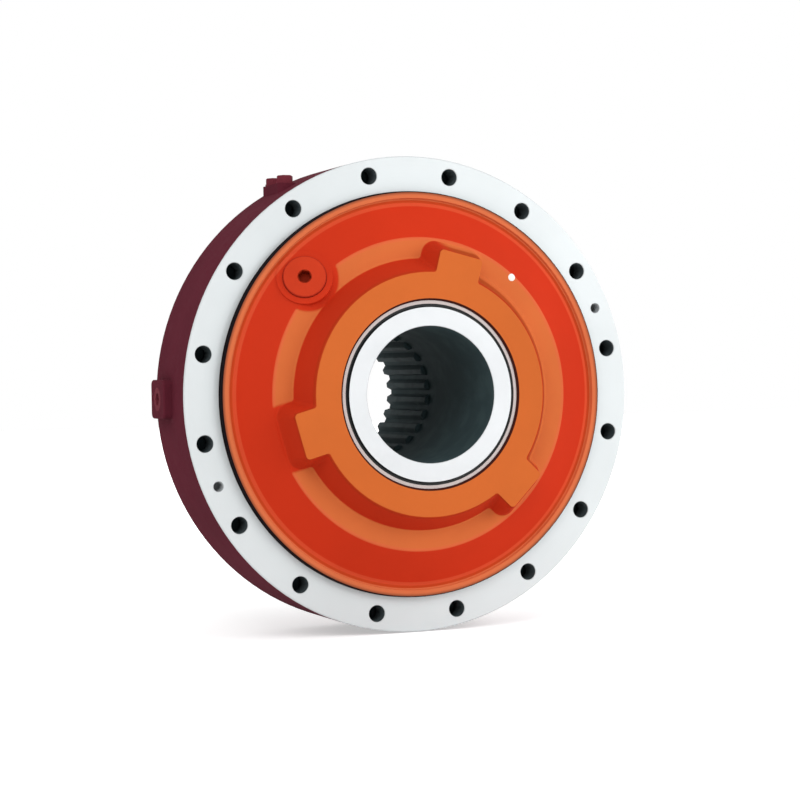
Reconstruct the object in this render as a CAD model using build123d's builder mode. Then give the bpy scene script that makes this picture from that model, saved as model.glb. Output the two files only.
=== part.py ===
from build123d import *
import os
from math import atan, cos, degrees, hypot, pi, radians, sin, sqrt, tan

os.makedirs("parts", exist_ok=True)

# Radial piston motor with a hollow splined shaft. All sizes are in millimetres.
# The motor's axis is Y, its front faces -Y, X points right and Z up, seen from the front.
# The origin is the centre of the machined mounting face. Depths are distances along Y from there.
# Radii are built from the spline outwards, so a change of one size moves everything outside it.

# Hollow shaft, one forging with the cylinder block
spline_module = 5
spline_teeth = 26
spline_l = 114
spline_space_angle = 30
spline_shift = 0.45
spline_overcut = 0.5
shaft_wall = 20
shaft_recess = 1
shaft_tail_l = 17
shaft_tail_step = 4
shaft_clearance = 4
bore_chamfer = 0.6
front_shoulder_h = 6
rear_shoulder_h = 3
retainer_offset = 7
retainer_hole_count = 6
retainer_hole_d = 6.8
retainer_hole_depth = 18

# Main bearings
bearing_w = 30
inner_race_t = 7
bearing_roller_d = 10
bearing_roller_count = 24
roller_end_gap = 0.2
outer_race_t = 8
race_rib_w = 4
race_rib_h = 3
cage_t = 3.4
cage_recess = 2
snap_ring_w = 2.5
snap_ring_t = 6
snap_groove_depth = 2
snap_ring_gap = 14
snap_gap = 1

# Shaft seals
seal_ring_w = 6
seal_gap = 2.6
seal_recess = 2.5
seal_mouth = 1.7
seal_w = 14
seal_case_t = 2
seal_flange_t = 1.6
seal_lip_w = 5

# Cylinders, pistons and cam rollers
piston_count = 10
piston_first_angle = 90
cylinder_floor_wall = 13
piston_floor_gap = 3
piston_skirt = 44
piston_lip = 5
piston_hollow_d = 26
piston_hollow_depth = 14
piston_ring_w = 2.5
piston_ring_t = 2.1
piston_ring_offset = 9
piston_ring_gap = 1.2
oil_hole_d = 5
roller_d = 36
roller_w = 36
roller_chamfer = 1.5
roller_corner_gap = 0.5818
freewheel_gap = 1
cylinder_side_wall = 7
cylinder_port_d = 14
cylinder_port_offset = 9

# Cam ring
stroke = 20
cam_lobes = 8
cam_phase = 4.5
cam_points_per_lobe = 8
block_side_gap = 2
block_cam_gap = 5
drum_wall = 31
drain_pad_w = 40
drain_pad_l = 48
drain_pad_h = 8.5
drain_pad_edge = 2
drain_pad_angles = (180, 0)
drain_port_d = 24.2
drain_port_depth = 18
drain_plug_hex = 12
drain_plug_l = 15
drain_plug_socket = 9
bleed_angle = 118.9
bleed_pad_h = 4.8
bleed_pad_w = 20
bleed_pad_l = 58
bleed_plug_d = 18
bleed_plug_hex = 15
bleed_collar_h = 2
bleed_plug_h = 8.5
bleed_plug_edge = 1
bleed_pitch = 36
bleed_hole_d = 8.8
bleed_hole_depth = 12
pad_corner = 6

# Mounting flange on the front cover
flange_t = 34
flange_edge_w = 17
mount_hole_count = 16
mount_hole_d = 17.5
mount_hole_floor = 4
bolt_land = 20
spigot_h = 9
jack_hole_d = 10.2
jack_hole_depth = 16
jack_angle = 22.5
mouth_chamfer = 0.5
edge_chamfer = 1

# Domed front of the cover
nose_h = 50
hub_wall = 10.5
hub_lean = 14.3
ledge_h = 23.5
ledge_w = 21.2
rim_w = 7
rim_step = 1
rim_groove_w = 4
rim_groove_h = 6
cover_wall = 15
lobe_count = 3
lobe_angle = 75.7
lobe_half_w = 23.7
lobe_lean = 10.4
lobe_foot_gap = 3.8
lobe_corner_r = 4
lobe_overlap = 14
root_fillet = 5
cast_fillet = 3

# Filler plug, square to the cone of the cover
plug_angle = 135.6
plug_offset = 11.5
plug_boss_w = 6.5
plug_boss_h = 0.8
plug_proud = 2.5
plug_head_d = 44
plug_head_t = 4
plug_edge = 1.2
plug_shank_d = 32
plug_shank_l = 18
plug_hex = 12
plug_hex_depth = 8
plug_washer_t = 1.5

# Valve plate with its pressure sleeves
valve_plate_t = 14
valve_port_d = 13
sleeve_count = 8
sleeve_offset = 24
sleeve_land = 14
sleeve_d = 18
sleeve_bore_d = 10
sleeve_l = 16
disc_spring_t = 1
disc_spring_h = 2

# Rear cover
rear_rim_w = 20
rear_flange_t = 22
rear_cover_l = 46
neck_land = 6

# Connection housing with the main ports
housing_l = 76
housing_wall = 16
housing_flange_t = 16
port_bore_d = 32
port_floor_wall = 7
port_bolt_long = 66.7
port_bolt_short = 31.8
port_pad_end = 18.65
port_pad_side = 8.1
port_bolt_hole_d = 12
port_bolt_depth = 26

# Fasteners, dowels and case seals
screw_d = 14
screw_floor = 9
housing_screw_count = 16
housing_screw_offset = 19
connection_screw_count = 12
connection_screw_offset = 32
connection_screw_edge = 14
connection_screw_grip = 22
connection_screw_arc = 120
screw_head_ratio = 1.5
screw_hex_ratio = 0.86
screw_clearance = 1
dowel_d = 12
dowel_l = 24
dowel_angles = (5.6, 174.4)
o_ring_d = 5
case_seal_offset = 8
housing_groove_offset = 11
seal_land = 4

# Clearances
running_fit = 0.03
roller_fit = 0.05
seat_fit = 0.02
loose_fit = 0.3
valve_gap = 0.2
cage_fit = 0.15
tiny = 0.01

# Worked-out radii, from the spline outwards
spline_tip_r = spline_module * spline_teeth / 2
spline_root_r = spline_tip_r + spline_module
shaft_r = spline_root_r + shaft_wall
shaft_tail_r = shaft_r - shaft_tail_step
shaft_bore_r = shaft_r + shaft_clearance
front_shoulder_r = shaft_r + front_shoulder_h
rear_shoulder_r = shaft_r + rear_shoulder_h
seal_bore_r = shaft_r + seal_ring_w
seal_rim_r = shaft_r + seal_gap
retainer_r = spline_root_r + retainer_offset
inner_track_r = shaft_r + inner_race_t
outer_track_r = inner_track_r + bearing_roller_d + 2 * running_fit
race_outer_r = outer_track_r + outer_race_t
bearing_pitch_r = (inner_track_r + outer_track_r) / 2
cylinder_r = hypot(roller_d / 2, roller_w / 2 - roller_chamfer) + roller_corner_gap
cylinder_floor_r = shaft_r + cylinder_floor_wall
cylinder_port_r = cylinder_floor_r + cylinder_port_offset
skirt_r = cylinder_floor_r + piston_floor_gap
roller_rest_r = skirt_r + piston_skirt
path_min_r = roller_rest_r + freewheel_gap
path_mid_r = path_min_r + stroke / 2
block_r = path_min_r + roller_d / 2 - block_cam_gap
cam_outer_r = path_min_r + stroke + roller_d / 2
case_seal_r = cam_outer_r + case_seal_offset
groove_inner_r = case_seal_r - o_ring_d / 2 - seat_fit
groove_outer_r = case_seal_r + o_ring_d / 2 + seat_fit
housing_screw_r = case_seal_r + housing_screw_offset
drum_r = housing_screw_r + drum_wall
drain_pad_r = drum_r + drain_pad_h
bolt_circle_r = drum_r - flange_edge_w
spigot_r = bolt_circle_r - bolt_land
rim_inner_r = spigot_r - rim_w
cone_foot_r = rim_inner_r - rim_step - rim_groove_w
hub_r = race_outer_r + hub_wall
hub_base_r = hub_r + hub_lean
ledge_r = hub_base_r + ledge_w
lobe_r = ledge_r - lobe_foot_gap - lobe_lean
lobe_root_r = hub_r - lobe_overlap
plug_r = ledge_r + plug_offset
sleeve_circle_r = cylinder_port_r + sleeve_offset
valve_plate_r = sleeve_circle_r + sleeve_land
rear_rim_r = housing_screw_r + rear_rim_w
housing_r = race_outer_r + housing_wall
housing_groove_r = race_outer_r + housing_groove_offset
connection_screw_r = housing_groove_r + connection_screw_offset
neck_r = connection_screw_r + connection_screw_edge

# Worked-out widths and places along the axis
block_w = 2 * (cylinder_r + cylinder_side_wall)
cam_ring_w = block_w + 2 * block_side_gap
bearing_roller_w = bearing_w - 2 * (race_rib_w + roller_end_gap)
cage_w = bearing_w - 2 * cage_recess
seal_stack = seal_recess + seal_w + snap_gap + snap_ring_w
front_bearing_y = seal_stack - nose_h
cam_mid_y = flange_t + cam_ring_w / 2
drum_end_y = flange_t + cam_ring_w
block_front_y = cam_mid_y - block_w / 2
block_rear_y = cam_mid_y + block_w / 2
valve_front_y = block_rear_y + valve_gap
valve_rear_y = valve_front_y + valve_plate_t
housing_front_y = drum_end_y + rear_cover_l
housing_rear_y = housing_front_y + housing_l
rear_bearing_y = housing_rear_y - seal_stack - bearing_w
shaft_front_y = shaft_recess - nose_h
shaft_rear_y = housing_rear_y + shaft_tail_l
snap_ring_places = (front_bearing_y - snap_ring_w, rear_bearing_y + bearing_w)
mount_hole_depth = flange_t - mount_hole_floor
housing_screw_grip = flange_t - screw_floor - screw_clearance
port_pad_l = port_bolt_short + 2 * port_pad_side
port_pad_h = port_bolt_long + 2 * port_pad_end
port_depth = neck_r - race_outer_r - port_floor_wall


def front_plane(y):
    """Plane at depth y that faces the front, with X to the right and Z up."""
    return Plane(origin=(0, y, 0), x_dir=(1, 0, 0), z_dir=(0, -1, 0))


def rear_plane(y):
    """Plane at depth y that faces the rear, with Z up."""
    return Plane(origin=(0, y, 0), x_dir=(-1, 0, 0), z_dir=(0, 1, 0))


def radial_plane(angle, radius, y):
    """Plane square to the radius at this angle, facing outwards, with its own x along the motor."""
    outward = Vector(cos(radians(angle)), 0, sin(radians(angle)))
    return Plane(origin=outward * radius + Vector(0, y, 0), x_dir=(0, 1, 0), z_dir=outward)


def turned(points, mode=Mode.ADD):
    """Solid of revolution about the motor's axis from (radius, depth) corners."""
    with BuildSketch(Plane.XY) as profile:
        with BuildLine():
            Polyline(*points, close=True)
        make_face()
    revolve(profile.sketch, axis=Axis.Y, mode=mode)


def turned_ring(inner_r, outer_r, front_y, rear_y, mode=Mode.ADD):
    """Plain ring about the motor's axis, added or cut."""
    turned([(inner_r, front_y), (outer_r, front_y), (outer_r, rear_y), (inner_r, rear_y)], mode)


def holes_on_circle(plane, radius, count, start_angle, diameter, depth):
    """Holes on a circle, drilled into the plane's face."""
    with BuildSketch(plane) as mouths:
        with PolarLocations(radius, count, start_angle):
            Circle(diameter / 2)
    extrude(mouths.sketch, amount=-depth, mode=Mode.SUBTRACT)


def dowel_holes(front_y):
    """Half-length holes for the dowels, running to the rear from depth front_y."""
    hole_d = dowel_d + 2 * seat_fit
    for dowel_angle in dowel_angles:
        holes_on_circle(front_plane(front_y), housing_screw_r, 1, dowel_angle, hole_d, dowel_l / 2)


def edges_between(builder, front_y, rear_y, inner_r, outer_r):
    """Edges of a piece whose middles lie between these depths and these radii."""
    middles = [(edge, edge.position_at(0.5)) for edge in builder.edges()]
    return [
        edge
        for edge, middle in middles
        if front_y < middle.Y < rear_y and inner_r < hypot(middle.X, middle.Z) < outer_r
    ]


def connection_places():
    """The connection screws' places: two arcs of equal screws that keep clear of the port pads."""
    half = connection_screw_count // 2
    first = 90 - connection_screw_arc / 2
    top = PolarLocations(connection_screw_r, half, first, connection_screw_arc, endpoint=True)
    bottom = PolarLocations(connection_screw_r, half, first + 180, connection_screw_arc, endpoint=True)
    return top.local_locations + bottom.local_locations


def cap_screws(head_plane, places, diameter, length):
    """Socket head cap screws at these places, their heads standing on the plane."""
    with BuildSketch(head_plane) as heads:
        with Locations(*places):
            Circle(diameter * screw_head_ratio / 2)
            RegularPolygon(diameter * screw_hex_ratio / 2, 6, major_radius=False, mode=Mode.SUBTRACT)
    extrude(heads.sketch, amount=diameter)
    with BuildSketch(head_plane) as shanks:
        with Locations(*places):
            Circle(diameter / 2)
    extrude(shanks.sketch, amount=-length)


def save(builder, name):
    """Label a finished piece and write it."""
    builder.part.label = name
    export_step(builder.part, f"parts/{name}.step")


# Cam path: the roller centres follow a cosine about the mean radius.
def path_radius(angle):
    """Distance of a roller's centre from the axis when the roller is on the cam at this angle."""
    return path_mid_r - stroke / 2 * cos(cam_lobes * radians(angle - cam_phase))


def cam_point(angle):
    """Point of the cam surface, one roller radius outside the path and square to it."""
    turn = radians(angle)
    r = path_radius(angle)
    slope = stroke / 2 * cam_lobes * sin(cam_lobes * radians(angle - cam_phase))
    along = hypot(r, slope)
    normal_x = (r * cos(turn) + slope * sin(turn)) / along
    normal_z = (r * sin(turn) - slope * cos(turn)) / along
    reach = roller_d / 2
    return (r * cos(turn) + reach * normal_x, r * sin(turn) + reach * normal_z)


# Front cover: mounting flange, spigot, cone, ledge and three-lobed hub in one casting
cone_slope = (ledge_h - rim_groove_h) / (cone_foot_r - ledge_r)
lobe_draft = degrees(atan(lobe_lean / (nose_h - ledge_h)))
cavity_inner_r = race_outer_r + cover_wall
cavity_front_r = ledge_r - cover_wall * (sqrt(1 + cone_slope**2) - 1) / cone_slope
cavity_outer_r = groove_inner_r - seal_land
plug_foot_y = -ledge_h + (plug_r - ledge_r) * cone_slope
plug_outward = Vector(cos(radians(plug_angle)), 0, sin(radians(plug_angle)))
plug_normal = (plug_outward * cone_slope + Vector(0, -1, 0)).normalized()
plug_top = Plane(
    origin=plug_outward * plug_r + Vector(0, plug_foot_y, 0) + plug_normal * plug_boss_h,
    x_dir=plug_outward.cross(Vector(0, 1, 0)),
    z_dir=plug_normal,
)
plug_seat = plug_top.offset(plug_proud - plug_head_t - plug_washer_t)
with BuildPart() as front_cover:
    with BuildSketch(Plane.XY) as cover_outside:
        with BuildLine():
            Polyline(
                (seal_bore_r, seal_mouth - nose_h),
                (seal_bore_r + seal_mouth, -nose_h),
                (hub_r, -nose_h),
                (hub_base_r, -ledge_h),
                (ledge_r, -ledge_h),
                (cone_foot_r, -rim_groove_h),
                (rim_inner_r - rim_step, -rim_groove_h),
                (rim_inner_r, -spigot_h),
                (spigot_r, -spigot_h),
                (spigot_r, 0),
                (drum_r, 0),
                (drum_r, flange_t),
                (seal_bore_r, flange_t),
                close=True,
            )
        make_face()
        fillet(vertices().filter_by_position(Axis.X, ledge_r - tiny, cone_foot_r + tiny), cast_fillet)
        rim = vertices().group_by(Axis.X)
        chamfer([rim[-2].sort_by(Axis.Y)[0], rim[-1].sort_by(Axis.Y)[0]], edge_chamfer)
    revolve(axis=Axis.Y)
    # Lobes: straight-sided blocks with draft, rounded into the hub, the nose face and the ledge
    with BuildSketch(front_plane(-nose_h)) as lobe_tops:
        with PolarLocations(0, lobe_count, lobe_angle):
            with Locations(((lobe_root_r + lobe_r) / 2, 0)):
                Rectangle(lobe_r - lobe_root_r, 2 * lobe_half_w)
        corners = lobe_tops.vertices().sort_by(lambda corner: hypot(corner.X, corner.Y))
        fillet(corners[-2 * lobe_count:], lobe_corner_r)
    extrude(lobe_tops.sketch, amount=ledge_h - nose_h - cast_fillet, taper=-lobe_draft)
    root_y = cast_fillet - nose_h
    fillet(edges_between(front_cover, root_y, -ledge_h - cast_fillet, hub_r, hub_base_r), root_fillet)
    fillet(edges_between(front_cover, -nose_h - tiny, tiny - nose_h, race_outer_r, ledge_r), cast_fillet)
    foot_r = ledge_r - edge_chamfer
    fillet(edges_between(front_cover, -ledge_h - tiny, tiny - ledge_h, hub_r, foot_r), cast_fillet)
    with BuildSketch(plug_top):
        Circle(plug_head_d / 2 + plug_boss_w)
    extrude(amount=-cover_wall)
    # Case cavity behind the cone, open to the rear
    cavity_points = [
        (cavity_inner_r, flange_t),
        (cavity_inner_r, cover_wall - ledge_h),
        (cavity_front_r, cover_wall - ledge_h),
        (cavity_outer_r, cover_wall - ledge_h + (cavity_outer_r - cavity_front_r) * cone_slope),
        (cavity_outer_r, flange_t),
    ]
    turned(cavity_points, Mode.SUBTRACT)
    # Bearing seat
    turned_ring(shaft_r, race_outer_r + seat_fit, front_bearing_y, flange_t, Mode.SUBTRACT)
    holes_on_circle(
        front_plane(0), bolt_circle_r, mount_hole_count, 180 / mount_hole_count, mount_hole_d, mount_hole_depth
    )
    holes_on_circle(front_plane(0), bolt_circle_r, 2, jack_angle, jack_hole_d, jack_hole_depth)
    mouths = edges_between(front_cover, -tiny, tiny, spigot_r + tiny, drum_r - edge_chamfer - tiny)
    chamfer(mouths, mouth_chamfer)
    # Filler hole with its spot face
    with BuildSketch(plug_seat):
        Circle(plug_head_d / 2 + loose_fit)
    extrude(amount=nose_h, mode=Mode.SUBTRACT)
    with BuildSketch(plug_seat):
        Circle(plug_shank_d / 2 + seat_fit)
    extrude(amount=-nose_h, mode=Mode.SUBTRACT)
    # Joint face towards the cam ring: seal groove, screw threads and dowel holes
    turned_ring(groove_inner_r, groove_outer_r, flange_t - o_ring_d, flange_t, Mode.SUBTRACT)
    holes_on_circle(
        rear_plane(flange_t), housing_screw_r, housing_screw_count, 0,
        screw_d + 2 * seat_fit, flange_t - screw_floor,
    )
    dowel_holes(flange_t - dowel_l / 2)
save(front_cover, "front_cover")

# Filler plug, screwed in square to the cone, and its sealing washer
with BuildPart() as cover_plug:
    with BuildSketch(plug_seat.offset(plug_washer_t)):
        Circle(plug_head_d / 2)
    extrude(amount=plug_head_t)
    fillet(edges().group_by(Axis(plug_seat.origin, plug_seat.z_dir))[-1], plug_edge)
    with BuildSketch(plug_seat.offset(plug_washer_t)):
        Circle(plug_shank_d / 2)
    extrude(amount=-plug_shank_l)
    with BuildSketch(plug_seat.offset(plug_washer_t + plug_head_t)):
        RegularPolygon(plug_hex / 2, 6, major_radius=False)
    extrude(amount=-plug_hex_depth, mode=Mode.SUBTRACT)
save(cover_plug, "cover_plug")

with BuildPart() as cover_plug_washer:
    with BuildSketch(plug_seat):
        Circle(plug_head_d / 2 - loose_fit)
        Circle(plug_shank_d / 2 + seat_fit, mode=Mode.SUBTRACT)
    extrude(amount=plug_washer_t)
save(cover_plug_washer, "cover_plug_washer")

# Cam ring: the middle of the drum, with the lobed track inside and the port pads outside
bleed_x = drum_r * cos(radians(bleed_angle))
bleed_z = drum_r * sin(radians(bleed_angle)) + bleed_pad_h
bleed_top = Plane(origin=(bleed_x, cam_mid_y, bleed_z), x_dir=(1, 0, 0), z_dir=(0, 0, 1))
with BuildPart() as cam_ring:
    with BuildSketch(front_plane(flange_t)):
        Circle(drum_r)
        with BuildLine():
            steps = cam_lobes * cam_points_per_lobe
            Spline(*[cam_point(cam_phase + 360 / steps * k) for k in range(steps)], periodic=True)
        make_face(mode=Mode.SUBTRACT)
    extrude(amount=-cam_ring_w)
    for angle in drain_pad_angles:
        pad_face = radial_plane(angle, drain_pad_r, cam_mid_y)
        with BuildSketch(pad_face):
            RectangleRounded(drain_pad_l, drain_pad_w, pad_corner)
        extrude(amount=-drain_pad_h - pad_corner)
        fillet(edges().group_by(Axis((0, 0, 0), pad_face.z_dir))[-1], drain_pad_edge)
        with BuildSketch(pad_face):
            Circle(drain_port_d / 2)
        extrude(amount=-drain_port_depth, mode=Mode.SUBTRACT)
    # Bleed boss with its milled top
    with BuildSketch(bleed_top):
        RectangleRounded(bleed_pad_w, bleed_pad_l, pad_corner)
    extrude(amount=-bleed_pad_w)
    with BuildSketch(bleed_top):
        RectangleRounded(bleed_pad_w, bleed_pad_l, pad_corner)
    extrude(amount=bleed_plug_h, mode=Mode.SUBTRACT)
    with BuildSketch(bleed_top):
        with GridLocations(0, bleed_pitch, 1, 2):
            Circle(bleed_hole_d / 2 + seat_fit)
    extrude(amount=-bleed_hole_depth, mode=Mode.SUBTRACT)
    holes_on_circle(
        front_plane(flange_t), housing_screw_r, housing_screw_count, 0, screw_d + screw_clearance, cam_ring_w
    )
    dowel_holes(flange_t)
    dowel_holes(drum_end_y - dowel_l / 2)
save(cam_ring, "cam_ring")

# Flush plug in the left-hand drain port
with BuildPart() as drain_plug:
    plug_face = radial_plane(drain_pad_angles[0], drain_pad_r, cam_mid_y)
    with BuildSketch(plug_face):
        Circle(drain_port_d / 2 - seat_fit)
    extrude(amount=-drain_plug_l)
    with BuildSketch(plug_face):
        RegularPolygon(drain_plug_hex / 2, 6, major_radius=False)
    extrude(amount=-drain_plug_socket, mode=Mode.SUBTRACT)
save(drain_plug, "drain_plug")

# Two hexagon-headed bleed plugs with round collars
with BuildPart() as bleed_plugs:
    with BuildSketch(bleed_top):
        with GridLocations(0, bleed_pitch, 1, 2):
            Circle(bleed_plug_d / 2)
    extrude(amount=bleed_collar_h)
    with BuildSketch(bleed_top):
        with GridLocations(0, bleed_pitch, 1, 2):
            RegularPolygon(bleed_plug_hex / 2, 6, major_radius=False)
    extrude(amount=bleed_plug_h)
    chamfer(faces().group_by(Axis.Z)[-1].edges(), bleed_plug_edge)
    with BuildSketch(bleed_top):
        with GridLocations(0, bleed_pitch, 1, 2):
            Circle(bleed_hole_d / 2)
    extrude(amount=-bleed_hole_depth + screw_clearance)
save(bleed_plugs, "bleed_plugs")

# Rear cover: flange, tapered body and the spigot that clamps the rear bearing
rear_spigot_y = rear_bearing_y - seat_fit
sleeve_pocket_depth = sleeve_l / 2 + disc_spring_h
with BuildPart() as rear_cover:
    rear_flange_y = drum_end_y + rear_flange_t
    neck_top_r = housing_screw_r - screw_d * screw_head_ratio / 2 - 2 * screw_clearance
    turned([
        (shaft_bore_r, drum_end_y),
        (rear_rim_r - edge_chamfer, drum_end_y),
        (rear_rim_r, drum_end_y + edge_chamfer),
        (rear_rim_r, rear_flange_y - edge_chamfer),
        (rear_rim_r - edge_chamfer, rear_flange_y),
        (neck_top_r, rear_flange_y),
        (neck_r, housing_front_y - neck_land),
        (neck_r, housing_front_y),
        (race_outer_r, housing_front_y),
        (race_outer_r, rear_spigot_y),
        (shaft_bore_r, rear_spigot_y),
    ])
    recess_r = valve_plate_r + loose_fit
    turned_ring(shaft_bore_r - screw_clearance, recess_r, drum_end_y, valve_rear_y, Mode.SUBTRACT)
    turned_ring(groove_inner_r, groove_outer_r, drum_end_y, drum_end_y + o_ring_d, Mode.SUBTRACT)
    screw_hole_d = screw_d + screw_clearance
    holes_on_circle(
        rear_plane(rear_flange_y), housing_screw_r, housing_screw_count, 0, screw_hole_d, rear_flange_t
    )
    sleeve_hole_d = sleeve_d + 2 * seat_fit
    holes_on_circle(
        front_plane(valve_rear_y), sleeve_circle_r, sleeve_count, 0, sleeve_hole_d, sleeve_pocket_depth
    )
    with BuildSketch(rear_plane(housing_front_y)):
        with Locations(*connection_places()):
            Circle(screw_d / 2 + seat_fit)
    extrude(amount=-connection_screw_grip - screw_clearance, mode=Mode.SUBTRACT)
    dowel_holes(drum_end_y)
save(rear_cover, "rear_cover")

# Connection housing: flange, round body, two main port pads, rear bearing and seal seats
port_mid_y = housing_rear_y - screw_clearance - port_pad_l / 2
with BuildPart() as connection_housing:
    turned([
        (shaft_r, housing_front_y),
        (neck_r, housing_front_y),
        (neck_r, housing_front_y + housing_flange_t - edge_chamfer),
        (neck_r - edge_chamfer, housing_front_y + housing_flange_t),
        (housing_r, housing_front_y + housing_flange_t),
        (housing_r, housing_rear_y - 2 * edge_chamfer),
        (housing_r - 2 * edge_chamfer, housing_rear_y),
        (seal_bore_r + seal_mouth, housing_rear_y),
        (seal_bore_r, housing_rear_y - seal_mouth),
        (shaft_r, housing_rear_y - seal_mouth),
    ])
    for side in (-1, 1):
        pad_face = Plane(origin=(side * neck_r, port_mid_y, 0), x_dir=(0, 1, 0), z_dir=(side, 0, 0))
        with BuildSketch(pad_face):
            RectangleRounded(port_pad_l, port_pad_h, pad_corner)
        extrude(amount=race_outer_r - neck_r)
        with BuildSketch(pad_face):
            Circle(port_bore_d / 2)
        extrude(amount=-port_depth, mode=Mode.SUBTRACT)
        with BuildSketch(pad_face):
            with GridLocations(port_bolt_short, port_bolt_long, 2, 2):
                Circle(port_bolt_hole_d / 2)
        extrude(amount=-port_bolt_depth, mode=Mode.SUBTRACT)
    # Bearing and seal seats, and the seal groove of the joint face
    bearing_end_y = rear_bearing_y + bearing_w
    inside_r = shaft_r - screw_clearance
    turned_ring(inside_r, race_outer_r + seat_fit, housing_front_y, bearing_end_y, Mode.SUBTRACT)
    turned_ring(inside_r, seal_bore_r, bearing_end_y, housing_rear_y, Mode.SUBTRACT)
    turned_ring(
        housing_groove_r - o_ring_d / 2 - seat_fit, housing_groove_r + o_ring_d / 2 + seat_fit,
        housing_front_y, housing_front_y + o_ring_d, Mode.SUBTRACT,
    )
    with BuildSketch(rear_plane(housing_front_y + housing_flange_t)):
        with Locations(*connection_places()):
            Circle((screw_d + screw_clearance) / 2)
    extrude(amount=-housing_flange_t, mode=Mode.SUBTRACT)
save(connection_housing, "connection_housing")

# Case seals: one ring in each of the three joint faces
with BuildPart() as case_seals:
    for seal_r, seal_y in (
        (case_seal_r, flange_t - o_ring_d / 2),
        (case_seal_r, drum_end_y + o_ring_d / 2),
        (housing_groove_r, housing_front_y + o_ring_d / 2),
    ):
        with BuildSketch(Plane.XY):
            with Locations((seal_r, seal_y)):
                Circle(o_ring_d / 2 - seat_fit)
        revolve(axis=Axis.Y)
save(case_seals, "case_seals")

# Screws and dowels of the housing
with BuildPart() as housing_screws:
    cap_screws(
        rear_plane(drum_end_y + rear_flange_t),
        PolarLocations(housing_screw_r, housing_screw_count).local_locations,
        screw_d,
        rear_flange_t + cam_ring_w + housing_screw_grip,
    )
save(housing_screws, "housing_screws")

with BuildPart() as connection_screws:
    cap_screws(
        rear_plane(housing_front_y + housing_flange_t),
        connection_places(),
        screw_d,
        housing_flange_t + connection_screw_grip,
    )
save(connection_screws, "connection_screws")

with BuildPart() as dowel_pins:
    for joint_y in (flange_t, drum_end_y):
        for angle in dowel_angles:
            with BuildSketch(front_plane(joint_y - dowel_l / 2 + seat_fit)):
                with PolarLocations(housing_screw_r, 1, angle):
                    Circle(dowel_d / 2)
            extrude(amount=-dowel_l + 2 * seat_fit)
save(dowel_pins, "dowel_pins")

# Hollow shaft and cylinder block
spline_front_y = shaft_rear_y - spline_l
flank_slope = tan(radians(spline_space_angle))
space_mouth = spline_module * (pi / 4 + spline_shift * flank_slope)
space_floor = space_mouth - spline_module * flank_slope
space_inside = space_mouth + spline_overcut * flank_slope
with BuildPart() as cylinder_block:
    turned([
        (spline_root_r + bore_chamfer, shaft_front_y),
        (shaft_r - edge_chamfer, shaft_front_y),
        (shaft_r, edge_chamfer + shaft_front_y),
        (shaft_r, front_bearing_y + bearing_w),
        (front_shoulder_r, front_bearing_y + bearing_w),
        (front_shoulder_r, block_front_y),
        (block_r, block_front_y),
        (block_r, block_rear_y),
        (rear_shoulder_r, block_rear_y),
        (rear_shoulder_r, rear_bearing_y),
        (shaft_r, rear_bearing_y),
        (shaft_r, housing_rear_y),
        (shaft_tail_r, housing_rear_y),
        (shaft_tail_r, shaft_rear_y - edge_chamfer),
        (shaft_tail_r - edge_chamfer, shaft_rear_y),
        (spline_tip_r, shaft_rear_y),
        (spline_tip_r, spline_front_y),
        (spline_root_r, spline_front_y),
        (spline_root_r, bore_chamfer + shaft_front_y),
    ])
    # Spline spaces, cut outwards from the bore
    with BuildSketch(rear_plane(shaft_rear_y)):
        with PolarLocations(0, spline_teeth):
            Polygon(
                (spline_tip_r - spline_overcut, -space_inside),
                (spline_root_r, -space_floor),
                (spline_root_r, space_floor),
                (spline_tip_r - spline_overcut, space_inside),
                align=None,
            )
    extrude(amount=-spline_l, mode=Mode.SUBTRACT)
    # Cylinders and the ports from their floors to the valve face
    for k in range(piston_count):
        angle = piston_first_angle + 360 / piston_count * k
        with BuildSketch(radial_plane(angle, cylinder_floor_r, cam_mid_y)):
            Circle(cylinder_r)
        extrude(amount=block_r, mode=Mode.SUBTRACT)
    port_face = rear_plane(block_rear_y)
    holes_on_circle(
        port_face, cylinder_port_r, piston_count, piston_first_angle, cylinder_port_d, block_w / 2
    )
    holes_on_circle(
        rear_plane(shaft_rear_y), retainer_r, retainer_hole_count, 0, retainer_hole_d, retainer_hole_depth
    )
    for ring_y in snap_ring_places:
        groove_floor_r = shaft_r - snap_groove_depth
        turned_ring(groove_floor_r, rear_shoulder_r, ring_y, ring_y + snap_ring_w, Mode.SUBTRACT)
save(cylinder_block, "cylinder_block")

with BuildPart() as shaft_snap_rings:
    for ring_y in snap_ring_places:
        turned_ring(
            shaft_r - snap_groove_depth + seat_fit, shaft_r - snap_groove_depth + snap_ring_t,
            ring_y + seat_fit, ring_y + snap_ring_w - seat_fit,
        )
        with BuildSketch(front_plane(ring_y)):
            with Locations((0, -shaft_r)):
                Rectangle(snap_ring_gap, shaft_r)
        extrude(amount=-snap_ring_w, mode=Mode.SUBTRACT)
save(shaft_snap_rings, "shaft_snap_rings")

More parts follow.
